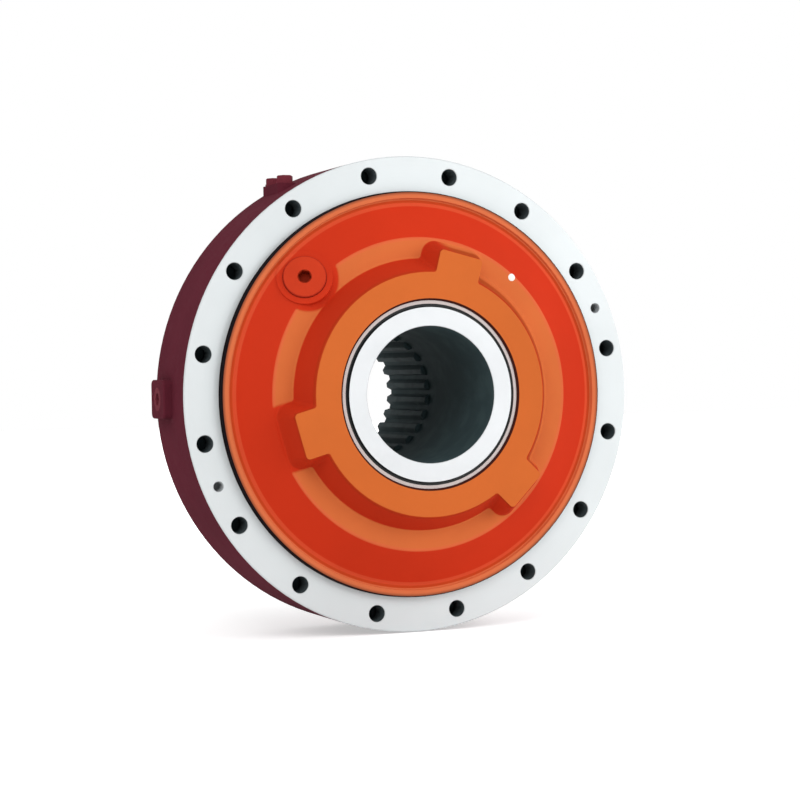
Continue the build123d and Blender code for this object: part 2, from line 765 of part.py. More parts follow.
# Pistons, their rings and the cam rollers, one set for each cylinder, all drawn in
for k in range(piston_count):
    angle = piston_first_angle + 360 / piston_count * k
    number = f"{k + 1:02d}"
    roller_x = roller_rest_r * cos(radians(angle))
    roller_z = roller_rest_r * sin(radians(angle))
    with BuildPart() as piston:
        with BuildSketch(radial_plane(angle, skirt_r, cam_mid_y)):
            Circle(cylinder_r - running_fit)
        extrude(amount=piston_skirt + piston_lip)
        # Cradle that holds the roller past its middle
        with BuildSketch(front_plane(cam_mid_y - cylinder_r)):
            with Locations((roller_x, roller_z)):
                Circle(roller_d / 2 + roller_fit)
        extrude(amount=-2 * cylinder_r, mode=Mode.SUBTRACT)
        with BuildSketch(radial_plane(angle, skirt_r, cam_mid_y)):
            Circle(piston_hollow_d / 2)
        extrude(amount=piston_hollow_depth, mode=Mode.SUBTRACT)
        with BuildSketch(radial_plane(angle, skirt_r, cam_mid_y)):
            Circle(oil_hole_d / 2)
        extrude(amount=piston_skirt, mode=Mode.SUBTRACT)
        with BuildSketch(radial_plane(angle, skirt_r + piston_ring_offset, cam_mid_y)):
            Circle(cylinder_r)
            Circle(cylinder_r - piston_ring_t - seat_fit, mode=Mode.SUBTRACT)
        extrude(amount=piston_ring_w, mode=Mode.SUBTRACT)
    save(piston, f"piston_{number}")
    with BuildPart() as piston_ring:
        with BuildSketch(radial_plane(angle, skirt_r + piston_ring_offset + seat_fit, cam_mid_y)):
            Circle(cylinder_r - seat_fit)
            Circle(cylinder_r - piston_ring_t, mode=Mode.SUBTRACT)
            with Locations((cylinder_r, 0)):
                Rectangle(cylinder_r, piston_ring_gap, mode=Mode.SUBTRACT)
        extrude(amount=piston_ring_w - 2 * seat_fit)
    save(piston_ring, f"piston_ring_{number}")
    with BuildPart() as cam_roller:
        with BuildSketch(front_plane(cam_mid_y - roller_w / 2)):
            with Locations((roller_x, roller_z)):
                Circle(roller_d / 2)
        extrude(amount=-roller_w)
        chamfer(edges().filter_by(GeomType.CIRCLE), roller_chamfer)
    save(cam_roller, f"cam_roller_{number}")

# Main bearings: plain inner race, ribbed outer race, cage and rollers at each end
for end, race_y in (("front", front_bearing_y), ("rear", rear_bearing_y)):
    with BuildPart() as inner_race:
        turned_ring(shaft_r + seat_fit, inner_track_r, race_y + seat_fit, race_y + bearing_w - seat_fit)
        chamfer(edges().filter_by(GeomType.CIRCLE), edge_chamfer)
    save(inner_race, f"{end}_inner_race")
    rib_inner_r = outer_track_r - race_rib_h
    rear_y = race_y + bearing_w
    with BuildPart() as outer_race:
        turned([
            (rib_inner_r, race_y + seat_fit),
            (race_outer_r, race_y + seat_fit),
            (race_outer_r, rear_y - seat_fit),
            (rib_inner_r, rear_y - seat_fit),
            (rib_inner_r, rear_y - race_rib_w),
            (outer_track_r, rear_y - race_rib_w),
            (outer_track_r, race_y + race_rib_w),
            (rib_inner_r, race_y + race_rib_w),
        ])
    save(outer_race, f"{end}_outer_race")
    middle_y = race_y + bearing_w / 2
    with BuildPart() as cage:
        cage_front_y = middle_y - cage_w / 2
        cage_inner_r = bearing_pitch_r - cage_t / 2
        turned_ring(cage_inner_r, cage_inner_r + cage_t, cage_front_y, cage_front_y + cage_w)
        with BuildSketch(front_plane(middle_y - bearing_roller_w / 2 - cage_fit)):
            with PolarLocations(bearing_pitch_r, bearing_roller_count):
                Rectangle(2 * cage_t, bearing_roller_d + 2 * cage_fit)
        extrude(amount=-bearing_roller_w - 2 * cage_fit, mode=Mode.SUBTRACT)
    save(cage, f"{end}_bearing_cage")
    with BuildPart() as rollers:
        with BuildSketch(front_plane(middle_y - bearing_roller_w / 2)):
            with PolarLocations(bearing_pitch_r, bearing_roller_count):
                Circle(bearing_roller_d / 2)
        extrude(amount=-bearing_roller_w)
    save(rollers, f"{end}_bearing_rollers")

# Shaft seals: a steel case with a flat outer rim and a rubber lip inside it
seal_faces = (("front", seal_recess - nose_h, 1), ("rear", housing_rear_y - seal_recess, -1))
for end, face_y, inward in seal_faces:
    case_outer_r = seal_bore_r - seat_fit
    case_inner_r = case_outer_r - seal_case_t
    with BuildPart() as seal_case:
        turned([
            (seal_rim_r, face_y),
            (case_outer_r, face_y),
            (case_outer_r, face_y + inward * seal_w),
            (case_inner_r, face_y + inward * seal_w),
            (case_inner_r, face_y + inward * seal_flange_t),
            (seal_rim_r, face_y + inward * seal_flange_t),
        ])
    save(seal_case, f"{end}_seal_case")
    lip_outer_r = case_inner_r - seat_fit
    lip_inner_r = shaft_r + running_fit
    waist_r = (lip_outer_r + lip_inner_r) / 2
    with BuildPart() as seal_lip:
        turned([
            (lip_inner_r, face_y + inward * (seal_flange_t + seat_fit)),
            (lip_outer_r, face_y + inward * (seal_flange_t + seat_fit)),
            (lip_outer_r, face_y + inward * (seal_w - seal_case_t)),
            (waist_r, face_y + inward * (seal_w - seal_case_t)),
            (lip_inner_r, face_y + inward * (seal_w - seal_lip_w)),
            (waist_r, face_y + inward * seal_w / 2),
            (lip_inner_r, face_y + inward * seal_lip_w),
        ])
    save(seal_lip, f"{end}_seal_lip")

# Valve plate with the pressure sleeves and disc springs that press it to the block
with BuildPart() as valve_plate:
    turned_ring(shaft_bore_r, valve_plate_r, valve_front_y, valve_rear_y)
    holes_on_circle(
        front_plane(valve_front_y), cylinder_port_r, 2 * cam_lobes, cam_phase + 90 / cam_lobes,
        valve_port_d, valve_plate_t,
    )
    holes_on_circle(
        rear_plane(valve_rear_y), sleeve_circle_r, sleeve_count, 0, sleeve_d + 2 * seat_fit, sleeve_l / 2
    )
save(valve_plate, "valve_plate")

with BuildPart() as valve_sleeves:
    with BuildSketch(front_plane(valve_rear_y - sleeve_l / 2 + seat_fit)):
        with PolarLocations(sleeve_circle_r, sleeve_count):
            Circle(sleeve_d / 2)
            Circle(sleeve_bore_d / 2, mode=Mode.SUBTRACT)
    extrude(amount=-sleeve_l + seat_fit)
save(valve_sleeves, "valve_sleeves")

with BuildPart() as valve_springs:
    spring_y = valve_rear_y + sleeve_l / 2 + seat_fit
    for k in range(sleeve_count):
        angle = 360 / sleeve_count * k
        middle = Vector(sleeve_circle_r * cos(radians(angle)), spring_y, sleeve_circle_r * sin(radians(angle)))
        with BuildSketch(Plane(origin=middle, x_dir=(1, 0, 0), z_dir=(0, 0, 1))):
            with BuildLine():
                Polyline(
                    (sleeve_bore_d / 2, 0),
                    (sleeve_d / 2 - seat_fit, disc_spring_h - disc_spring_t),
                    (sleeve_d / 2 - seat_fit, disc_spring_h - 2 * seat_fit),
                    (sleeve_bore_d / 2, disc_spring_t),
                    close=True,
                )
            make_face()
        revolve(axis=Axis(middle, (0, 1, 0)))
save(valve_springs, "valve_springs")
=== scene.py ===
"""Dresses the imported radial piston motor: paints, bare metal, threads, light and camera.

The frame is the CAD frame in metres: Y along the shaft with the domed front facing -Y, X right, Z up.
Angles about the shaft run from +X towards +Z, as seen from the front.
"""

import logging
import math
from dataclasses import dataclass
from enum import Enum

import bpy
import numpy as np
from mathutils import Matrix, Vector


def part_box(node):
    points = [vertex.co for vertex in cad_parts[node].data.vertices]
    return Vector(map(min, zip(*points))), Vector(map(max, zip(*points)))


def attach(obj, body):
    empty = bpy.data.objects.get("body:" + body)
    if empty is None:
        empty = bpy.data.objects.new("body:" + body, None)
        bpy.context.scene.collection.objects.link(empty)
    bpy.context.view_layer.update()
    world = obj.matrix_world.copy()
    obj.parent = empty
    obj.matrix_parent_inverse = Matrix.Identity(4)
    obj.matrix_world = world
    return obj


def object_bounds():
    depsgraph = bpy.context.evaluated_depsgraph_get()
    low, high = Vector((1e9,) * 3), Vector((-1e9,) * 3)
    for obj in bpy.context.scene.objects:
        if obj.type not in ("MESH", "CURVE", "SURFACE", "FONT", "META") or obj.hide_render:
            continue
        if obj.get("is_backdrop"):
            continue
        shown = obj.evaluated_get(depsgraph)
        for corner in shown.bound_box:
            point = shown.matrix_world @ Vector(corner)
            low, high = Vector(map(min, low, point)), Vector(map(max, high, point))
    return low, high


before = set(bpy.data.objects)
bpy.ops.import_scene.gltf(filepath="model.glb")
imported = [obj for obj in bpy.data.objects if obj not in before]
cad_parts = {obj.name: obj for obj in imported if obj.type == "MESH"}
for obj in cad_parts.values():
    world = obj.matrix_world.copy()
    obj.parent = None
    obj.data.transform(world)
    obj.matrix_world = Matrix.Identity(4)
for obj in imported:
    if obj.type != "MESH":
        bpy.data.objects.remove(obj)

LOG = logging.getLogger("motor")
MM = 0.001
PAINT_GLOSS = 0.03
REAR_GLOSS = 0.15
SHAFT_GLOSS = 0.15
MASKED_EDGE = 0.3
# Share of the painted highlight along the ledge's rounded edge
SHELF_HIGHLIGHT_SHARE = 0.7
TURNING_SHARE = 0.22

# Depth of each surface's relief, in metres
CAST_GRAIN = 0.00012
FINE_GRAIN = 0.00003
COAT_RELIEF = 0.00008
TURNED_RELIEF = 0.00003
GROUND_RELIEF = 0.00002
RUBBER_RELIEF = 0.00004

# Soft patches of each surface: the largest share taken off its colour, and patches per metre
PAINT_PATCHES = (0.12, 14.0)
COAT_PATCHES = (0.07, 9.0)
PLUG_PATCHES = (0.08, 30.0)
RING_PATCHES = (0.06, 7.0)
IRON_PATCHES = (0.15, 22.0)
TURNED_PATCHES = (0.1, 22.0)
JOURNAL_PATCHES = (0.12, 22.0)
END_PATCHES = (0.05, 18.0)
TOOTH_PATCHES = (0.3, 60.0)
PLATED_PATCHES = (0.12, 60.0)

HOUSING_SCREW_CIRCLE = 216 * MM
HOUSING_SCREW_ANGLES = 22.5 * np.arange(16)
CONNECTION_SCREW_CIRCLE = 158.06 * MM
CONNECTION_SCREW_ARC = np.linspace(-60, 60, 6)
CONNECTION_SCREW_ANGLES = np.concatenate((90 + CONNECTION_SCREW_ARC, 270 + CONNECTION_SCREW_ARC))

Socket = bpy.types.NodeSocket
Colour = tuple[float, float, float]
Point = tuple[float, float, float]
Limits = tuple[float, float]
SHAFT_AXIS = (0.0, 1.0, 0.0)
WHITE = (1.0, 1.0, 1.0)


class Body(str, Enum):
    """Moving bodies that new pieces ride on."""

    HOUSING = "housing"
    SHAFT = "shaft"


class Slot(str, Enum):
    """Material slots of the record."""

    COVER = "cover_paint"
    HOUSING = "housing_paint"
    DRUM = "drum_paint"
    SHAFT = "shaft_steel"
    SCREW = "screw_steel"


def srgb(red: float, green: float, blue: float) -> Colour:
    """Turns a display colour into the linear colour that shaders use.

    Args:
        red: Red from 0 to 255.
        green: Green from 0 to 255.
        blue: Blue from 0 to 255.

    Returns:
        The linear red, green and blue from 0 to 1.
    """
    values = np.array((red, green, blue)) / 255
    linear = np.where(values <= 0.04045, values / 12.92, ((values + 0.055) / 1.055) ** 2.4)
    return tuple(float(v) for v in linear)


@dataclass(frozen=True)
class Finish:
    """One surface finish.

    Attributes:
        colour: Display colour, 0 to 255.
        roughness: Roughness of the shader.
        metallic: 0 for paint and rubber, 1 for bare metal.
    """

    colour: Colour
    roughness: float
    metallic: float = 0.0

    @property
    def tone(self) -> Colour:
        """The finish's colour as shaders use it."""
        return srgb(*self.colour)


# Paints, with the painted light and shade laid over them
FLAT_ORANGE = Finish((206, 104, 48), 0.55)
SHELF_ORANGE = Finish((214, 111, 60), 0.55)
RIM_ORANGE = Finish((214, 112, 70), 0.55)
# Painted shade over the rim's outer rounded edge
RIM_EDGE_SHADE = Finish((150, 80, 54), 0.6)
# Painted shade in the groove before the rim
GROOVE_SHADE = Finish((190, 66, 30), 0.6)
# Painted highlight along the foot of the cone
CONE_HIGHLIGHT = Finish((214, 78, 47), 0.5)
CONE_RED = Finish((203, 53, 26), 0.5)
# Painted shade: the hub's steep walls a little darker than the cone, and brown on the right
SHADED_WALL_RED = Finish((194, 51, 25), 0.55)
SHADED_WALL_BROWN = Finish((175, 72, 31), 0.55)
# Painted shade line along the hub's rounded top edge
NOSE_SHADE = Finish((180, 52, 22), 0.5)
# Painted highlight along the ledge's rounded edge
SHELF_HIGHLIGHT = Finish((220, 104, 64), 0.45)
MOUTH_SHADE = Finish((62, 26, 22), 0.55)
PLUG_RED = Finish((201, 60, 32), 0.5)
PLUG_SHADOW = Finish((172, 46, 28), 0.55)
SEAT_SHADOW = Finish((150, 38, 25), 0.6)
# Painted shade in the plug's hexagon socket
SOCKET_SHADE = Finish((138, 34, 12), 0.6)
# Painted shade: the body's paint darkened to maroon on the drum, the flange's edge and the rear covers
SHADED_DRUM_MAROON = Finish((99, 38, 51), 0.85)
# Painted light: a lighter copy of the drum's maroon for the plugs standing on it
LIT_PLUG_MAROON = Finish((120, 50, 61), 0.7)
SHADED_REAR_MAROON = Finish((99, 38, 51), 0.5)
DOT_WHITE = Finish((244, 243, 238), 0.5)

# Bare metal and rubber, with painted shade over some of the bare metal
MACHINED = Finish((212, 217, 218), 0.45, 0.3)
TURNING_MARKS = Finish((196, 202, 204), 0.45, 0.3)
JACK_GREY = Finish((176, 180, 182), 0.45, 0.3)
SHAFT_END = Finish((219, 222, 224), 0.5, 0.2)
# Painted shade: near black on the shaft's side in the gap before the seal
SHAFT_SIDE_SHADE = Finish((18, 22, 23), 0.6)
GROUND = Finish((206, 208, 212), 0.3, 1.0)
# Painted shade of the deep bore, with paler random patches and a lighter grey on the spline teeth
BORE_SHADE = Finish((55, 72, 75), 0.75)
BORE_PALE_PATCH = Finish((64, 82, 84), 0.75)
TOOTH_GREY = Finish((88, 101, 103), 0.75)
# Near black over the spigot's side, carried onto the ring face as painted shadow
SPIGOT_DARK = Finish((20, 14, 18), 0.7)
HOLE_DARK = Finish((56, 66, 69), 0.6, 0.1)
SEAL_SILVER = Finish((178, 166, 163), 0.4, 0.6)
BLACK_SCREW = Finish((44, 44, 47), 0.42, 0.7)
SPRING_BLUE = Finish((72, 76, 84), 0.35, 1.0)
BRASS = Finish((196, 156, 84), 0.35, 1.0)
COPPER = Finish((196, 120, 84), 0.35, 1.0)
IRON = Finish((112, 112, 114), 0.5, 0.9)
BARE_IRON = Finish((150, 152, 155), 0.45, 0.7)
RUBBER = Finish((14, 18, 18), 0.7)
RUBBER_BLOOM = Finish((30, 32, 33), 0.7)


class Graph:
    """Builds one procedural material around a single Principled shader.

    Args:
        name: Name of the material.
    """

    patch_limits = (0.35, 0.7)

    def __init__(self, name: str) -> None:
        """Makes the material and reads its coordinates."""
        self.material = bpy.data.materials.new(name)
        self.material.use_nodes = True
        self.tree = self.material.node_tree
        self.shader = self.tree.nodes["Principled BSDF"]
        coords = self.tree.nodes.new("ShaderNodeTexCoord")
        self.place = coords.outputs["Object"]
        split = self.node("ShaderNodeSeparateXYZ", self.place)
        self.x, self.y, self.z = split.outputs
        self.radius = self.from_line((0.0, 0.0, 0.0), SHAFT_AXIS)

    def from_line(self, through: Point, along: Point) -> Socket:
        """Distance from a straight line: the length of the cross product of the offset and its direction.

        Args:
            through: A point of the line, in metres.
            along: Direction of the line, one unit long.

        Returns:
            The distance in metres.
        """
        offset = self.node("ShaderNodeVectorMath", self.place, through, operation="SUBTRACT").outputs[0]
        across = self.node("ShaderNodeVectorMath", offset, along, operation="CROSS_PRODUCT").outputs[0]
        return self.node("ShaderNodeVectorMath", across, operation="LENGTH").outputs["Value"]

    def put(self, socket: Socket, value: Socket | float | Colour) -> None:
        """Links a socket to another, or sets its own value.

        Args:
            socket: Input to fill.
            value: Output to link, or the constant to set.
        """
        if isinstance(value, Socket):
            self.tree.links.new(value, socket)
        elif isinstance(value, tuple):
            size = len(socket.default_value)
            socket.default_value = (*value, 1.0) if size == 4 else value
        else:
            socket.default_value = value

    def node(self, kind: str, *values: Socket | float | Colour, **settings: object) -> bpy.types.Node:
        """Adds a node, sets its options and fills its first inputs.

        Args:
            kind: Blender's node type.
            values: Values for the inputs, in order.
            settings: Properties of the node.

        Returns:
            The new node.
        """
        made = self.tree.nodes.new(kind)
        for key, setting in settings.items():
            setattr(made, key, setting)
        for socket, value in zip(made.inputs, values):
            self.put(socket, value)
        return made

    def maths(self, operation: str, *values: Socket | float) -> Socket:
        """Adds a Math node and returns its result."""
        return self.node("ShaderNodeMath", *values, operation=operation).outputs[0]

    def step(self, value: Socket, low: float, high: float) -> Socket:
        """Rises smoothly from 0 at low to 1 at high.

        Args:
            value: Value that is tested.
            low: Where the result starts to rise.
            high: Where the result reaches 1. It may lie below low, and then the result falls.

        Returns:
            The smooth step.
        """
        made = self.node("ShaderNodeMapRange", interpolation_type="SMOOTHSTEP")
        turned = high < low
        self.put(made.inputs["Value"], value)
        made.inputs["From Min"].default_value = min(low, high)
        made.inputs["From Max"].default_value = max(low, high)
        made.inputs["To Min"].default_value = 1.0 if turned else 0.0
        made.inputs["To Max"].default_value = 0.0 if turned else 1.0
        return made.outputs["Result"]

    def ramp(self, value: Socket, limits: Limits) -> Socket:
        """Rises smoothly from 0 to 1 between two limits in millimetres."""
        return self.step(value, limits[0] * MM, limits[1] * MM)

    def both(self, *masks: Socket) -> Socket:
        """Multiplies masks, so that the result is 1 only where all of them are.

        Args:
            masks: Values from 0 to 1.

        Returns:
            Their product.
        """
        result = masks[0]
        for mask in masks[1:]:
            result = self.maths("MULTIPLY", result, mask)
        return result

    def blend(self, mask: Socket | float, first: Socket | Colour, second: Socket | Colour) -> Socket:
        """Mixes two colours.

        Args:
            mask: Share of the second colour.
            first: Colour where the mask is 0.
            second: Colour where it is 1.

        Returns:
            The mixed colour.
        """
        made = self.node("ShaderNodeMix", data_type="RGBA")
        for index, value in ((0, mask), (6, first), (7, second)):
            self.put(made.inputs[index], value)
        return made.outputs[2]

    def level(self, mask: Socket, first: Socket | float, second: Socket | float) -> Socket:
        """Mixes two numbers.

        Args:
            mask: Share of the second number.
            first: Number where the mask is 0.
            second: Number where it is 1.

        Returns:
            The mixed number.
        """
        made = self.node("ShaderNodeMix", data_type="FLOAT")
        for index, value in ((0, mask), (2, first), (3, second)):
            self.put(made.inputs[index], value)
        return made.outputs[0]

    def spread(self, value: Socket, middle: float, width: float) -> Socket:
        """Turns a value from 0 to 1 into one that lies within a width about a middle."""
        return self.maths("MULTIPLY_ADD", value, width, middle - width / 2)

    def noise(self, scale: float, detail: float = 3.0, vector: Socket | None = None) -> Socket:
        """Adds a noise texture.

        Args:
            scale: Features per metre.
            detail: How many finer layers it has.
            vector: Coordinates, or None for the object's own.

        Returns:
            The noise value from 0 to 1.
        """
        made = self.node("ShaderNodeTexNoise")
        self.put(made.inputs["Vector"], vector or self.place)
        made.inputs["Scale"].default_value = scale
        made.inputs["Detail"].default_value = detail
        return made.outputs[0]

    def rings(self, per_metre: float) -> Socket:
        """Turning marks: noise along the radius, all but the same round the shaft."""
        lathe = self.node("ShaderNodeCombineXYZ", self.radius, self.maths("MULTIPLY", self.y, 0.2), 0.0)
        return self.noise(per_metre, 2.0, lathe.outputs[0])

    def relief(self, height: Socket, distance: float) -> None:
        """Gives the surface a bump.

        Args:
            height: Height from 0 to 1.
            distance: Depth in metres that a height of 1 stands for.
        """
        made = self.node("ShaderNodeBump")
        made.inputs["Strength"].default_value = 1.0
        made.inputs["Distance"].default_value = distance
        self.put(made.inputs["Height"], height)
        self.put(self.shader.inputs["Normal"], made.outputs[0])

    def surface(
        self,
        colour: Socket | Colour,
        roughness: Socket | float,
        metallic: Socket | float,
        gloss: float | None = None,
    ) -> None:
        """Fills the shader's main inputs.

        Args:
            colour: Base colour.
            roughness: Roughness.
            metallic: 0 for paint, 1 for bare metal.
            gloss: Specular level, or None for the shader's own.
        """
        self.put(self.shader.inputs["Base Color"], colour)
        self.put(self.shader.inputs["Roughness"], roughness)
        self.put(self.shader.inputs["Metallic"], metallic)
        if gloss is not None:
            self.shader.inputs["Specular IOR Level"].default_value = gloss

    def shade(self, base: Socket | Colour, amount: float, scale: float) -> Socket:
        """Darkens a colour in soft patches, so that it isn't one flat tone.

        Args:
            base: Colour to vary.
            amount: Largest share that is taken off.
            scale: Patches per metre.

        Returns:
            The varied colour.
        """
        patch = self.maths("MULTIPLY", self.step(self.noise(scale, 4.0), *self.patch_limits), amount)
        return self.blend(patch, base, (0.0, 0.0, 0.0))


def paint(
    name: str,
    finish: Finish,
    grain: float = CAST_GRAIN,
    gloss: float = PAINT_GLOSS,
    bare: tuple[Limits, ...] = (),
) -> bpy.types.Material:
    """Rolled or sprayed paint over a casting, with bare iron where it was machined after painting.

    Args:
        name: Name of the material.
        finish: Colour and roughness.
        grain: Depth of the cast texture under the paint, in metres.
        gloss: Specular level of the paint.
        bare: Pairs of a radius and a depth in millimetres. What lies within both is bare.

    Returns:
        The material.
    """
    graph = Graph(name)
    colour = graph.shade(finish.tone, *PAINT_PATCHES)
    rough = graph.spread(graph.noise(60.0), finish.roughness, 0.16)
    metal = finish.metallic
    for radius, depth in bare:
        within = graph.both(
            graph.ramp(graph.radius, (radius, radius - MASKED_EDGE)),
            graph.ramp(graph.y, (depth, depth - MASKED_EDGE)),
        )
        colour = graph.blend(within, colour, graph.shade(BARE_IRON.tone, *IRON_PATCHES))
        rough = graph.level(within, rough, BARE_IRON.roughness)
        metal = graph.level(within, metal, BARE_IRON.metallic)
    graph.surface(colour, rough, metal, gloss)
    height = graph.maths("ADD", graph.noise(420.0, 3.0), graph.maths("MULTIPLY", graph.noise(60.0, 2.0), 2.0))
    graph.relief(height, grain)
    return graph.material


def turned_metal(name: str, finish: Finish, marks: float = 900.0) -> bpy.types.Material:
    """Metal turned on a lathe about the shaft, with fine circular marks.

    Args:
        name: Name of the material.
        finish: Colour, roughness and metallic value.
        marks: Marks per metre of radius.

    Returns:
        The material.
    """
    graph = Graph(name)
    rings = graph.rings(marks)
    colour = graph.shade(finish.tone, *TURNED_PATCHES)
    rough = graph.spread(rings, finish.roughness, 0.2)
    graph.surface(colour, rough, finish.metallic)
    graph.relief(rings, TURNED_RELIEF)
    return graph.material


def plain_metal(name: str, finish: Finish) -> bpy.types.Material:
    """Ground or plated metal with faint marks in every direction.

    Args:
        name: Name of the material.
        finish: Colour, roughness and metallic value.

    Returns:
        The material.
    """
    graph = Graph(name)
    colour = graph.shade(finish.tone, *PLATED_PATCHES)
    rough = graph.spread(graph.noise(300.0), finish.roughness, 0.2)
    graph.surface(colour, rough, finish.metallic)
    graph.relief(graph.noise(900.0, 2.0), GROUND_RELIEF)
    return graph.material


@dataclass(frozen=True)
class CoverZones:
    """Places where the front cover's colours change, painted light and shade among them.

    Each pair says where a tone starts and where it is full, in millimetres. "from" and "within" are
    distances from the shaft, or from the axis that the name gives. "behind" and "before" are depths along
    the shaft, which grow towards the rear.

    Attributes:
        cone_from: Red cone, outside the ledge.
        shelf_within: Orange of the ledge.
        shelf_behind: Depth of the ledge.
        shelf_highlight_behind: Depth of the painted highlight on the ledge's rounded edge.
        shelf_highlight_within: Outer side of that highlight.
        shelf_highlight_from: Inner side of that highlight.
        nose_shade_before: Depth of the painted shade line on the hub's rounded edge.
        nose_before: Depth of the hub's face.
        cone_highlight_from: Painted highlight line at the foot of the cone.
        groove_shade_from: Painted shade in the groove before the rim.
        rim_from: Rim.
        rim_edge_shade_from: Painted shade over the outer rounded edge of the rim.
        wall_shade_right: How far to the right the hub's wall turns from red to brown, as painted shade.
        wall_shade_above: How far up it does.
        wall_shade_behind: Depth over which the painted brown turns to orange at the wall's foot.
        shaded_lobe_angle: Angle of the lobe whose foot is painted red instead of orange, as painted shade, in
            degrees.
        shaded_lobe_within: Distance from that lobe's middle line.
        shaded_lobe_from: Distance along that line.
        boss_within: Red round the filler plug, from the plug's axis.
        plug_at: A point on the plug's axis.
        plug_out: Direction of that axis.
        recess_within: Shadow under the plug's head, from its axis.
        recess_from: The same, from the shaft.
        recess_before: The same, in depth.
        mouth_within: Painted shade in the bore in front of the seal.
        mouth_before: Depth of that bore.
        ring_from: Bare mounting face.
        ring_before: Rear limit of that face.
        ring_behind: Front limit of that face.
        spigot_from: Inner limit of the near-black band over the spigot's side, which reaches onto the rim's
            edge.
        spigot_within: Outer limit of that band, which reaches half a millimetre onto the ring face as painted
            shadow.
        edge_from: Painted edge of the flange.
        edge_behind: Depth where that paint starts.
        inside_within: Bare metal behind the mounting face.
        inside_behind: Depth where it starts.
        jack_circle: Radius of the jacking holes' circle.
        jack_angles: Angles of the jacking holes in degrees.
        jack_within: Wall of a jacking hole, from its own axis.
        jack_behind: Depth where that wall starts.
    """

    cone_from: Limits = (160.4, 161.8)
    shelf_within: Limits = (161.4, 160.2)
    shelf_behind: Limits = (-24.7, -23.6)
    shelf_highlight_behind: Limits = (-26.1, -24.4)
    shelf_highlight_within: Limits = (162.2, 161.4)
    shelf_highlight_from: Limits = (158.0, 159.2)
    nose_shade_before: Limits = (-46.6, -48.8)
    nose_before: Limits = (-49.7, -49.95)
    cone_highlight_from: Limits = (194.0, 195.2)
    groove_shade_from: Limits = (197.6, 198.8)
    rim_from: Limits = (200.4, 201.6)
    rim_edge_shade_from: Limits = (205.5, 209.0)
    wall_shade_right: Limits = (16.0, 34.0)
    wall_shade_above: Limits = (-85.0, -70.0)
    wall_shade_behind: Limits = (-38.0, -29.0)
    shaded_lobe_angle: float = 195.7
    shaded_lobe_within: Limits = (43.5, 40.5)
    shaded_lobe_from: Limits = (120.0, 124.0)
    boss_within: Limits = (36.0, 33.0)
    plug_at: Point = (-123.29, -18.05, 120.73)
    plug_out: Point = (-0.3059, -0.9037, 0.2996)
    recess_within: Limits = (22.8, 22.3)
    recess_from: Limits = (147.0, 149.0)
    recess_before: Limits = (6.0, 2.0)
    mouth_within: Limits = (98.2, 97.8)
    mouth_before: Limits = (60.0, 50.0)
    ring_from: Limits = (210.5, 210.9)
    ring_before: Limits = (1.3, 1.1)
    ring_behind: Limits = (-0.8, -0.5)
    spigot_from: Limits = (208.7, 209.2)
    spigot_within: Limits = (210.9, 210.5)
    edge_from: Limits = (246.2, 246.5)
    edge_behind: Limits = (0.5, 0.9)
    inside_within: Limits = (246.5, 246.2)
    inside_behind: Limits = (0.5, 1.3)
    jack_circle: float = 230.0
    jack_angles: Limits = (22.5, 202.5)
    jack_within: Limits = (6.6, 6.2)
    jack_behind: Limits = (0.1, 0.3)


def millimetres(values: Point) -> Point:
    """Turns a point in millimetres into one in metres."""
    return tuple(value * MM for value in values)


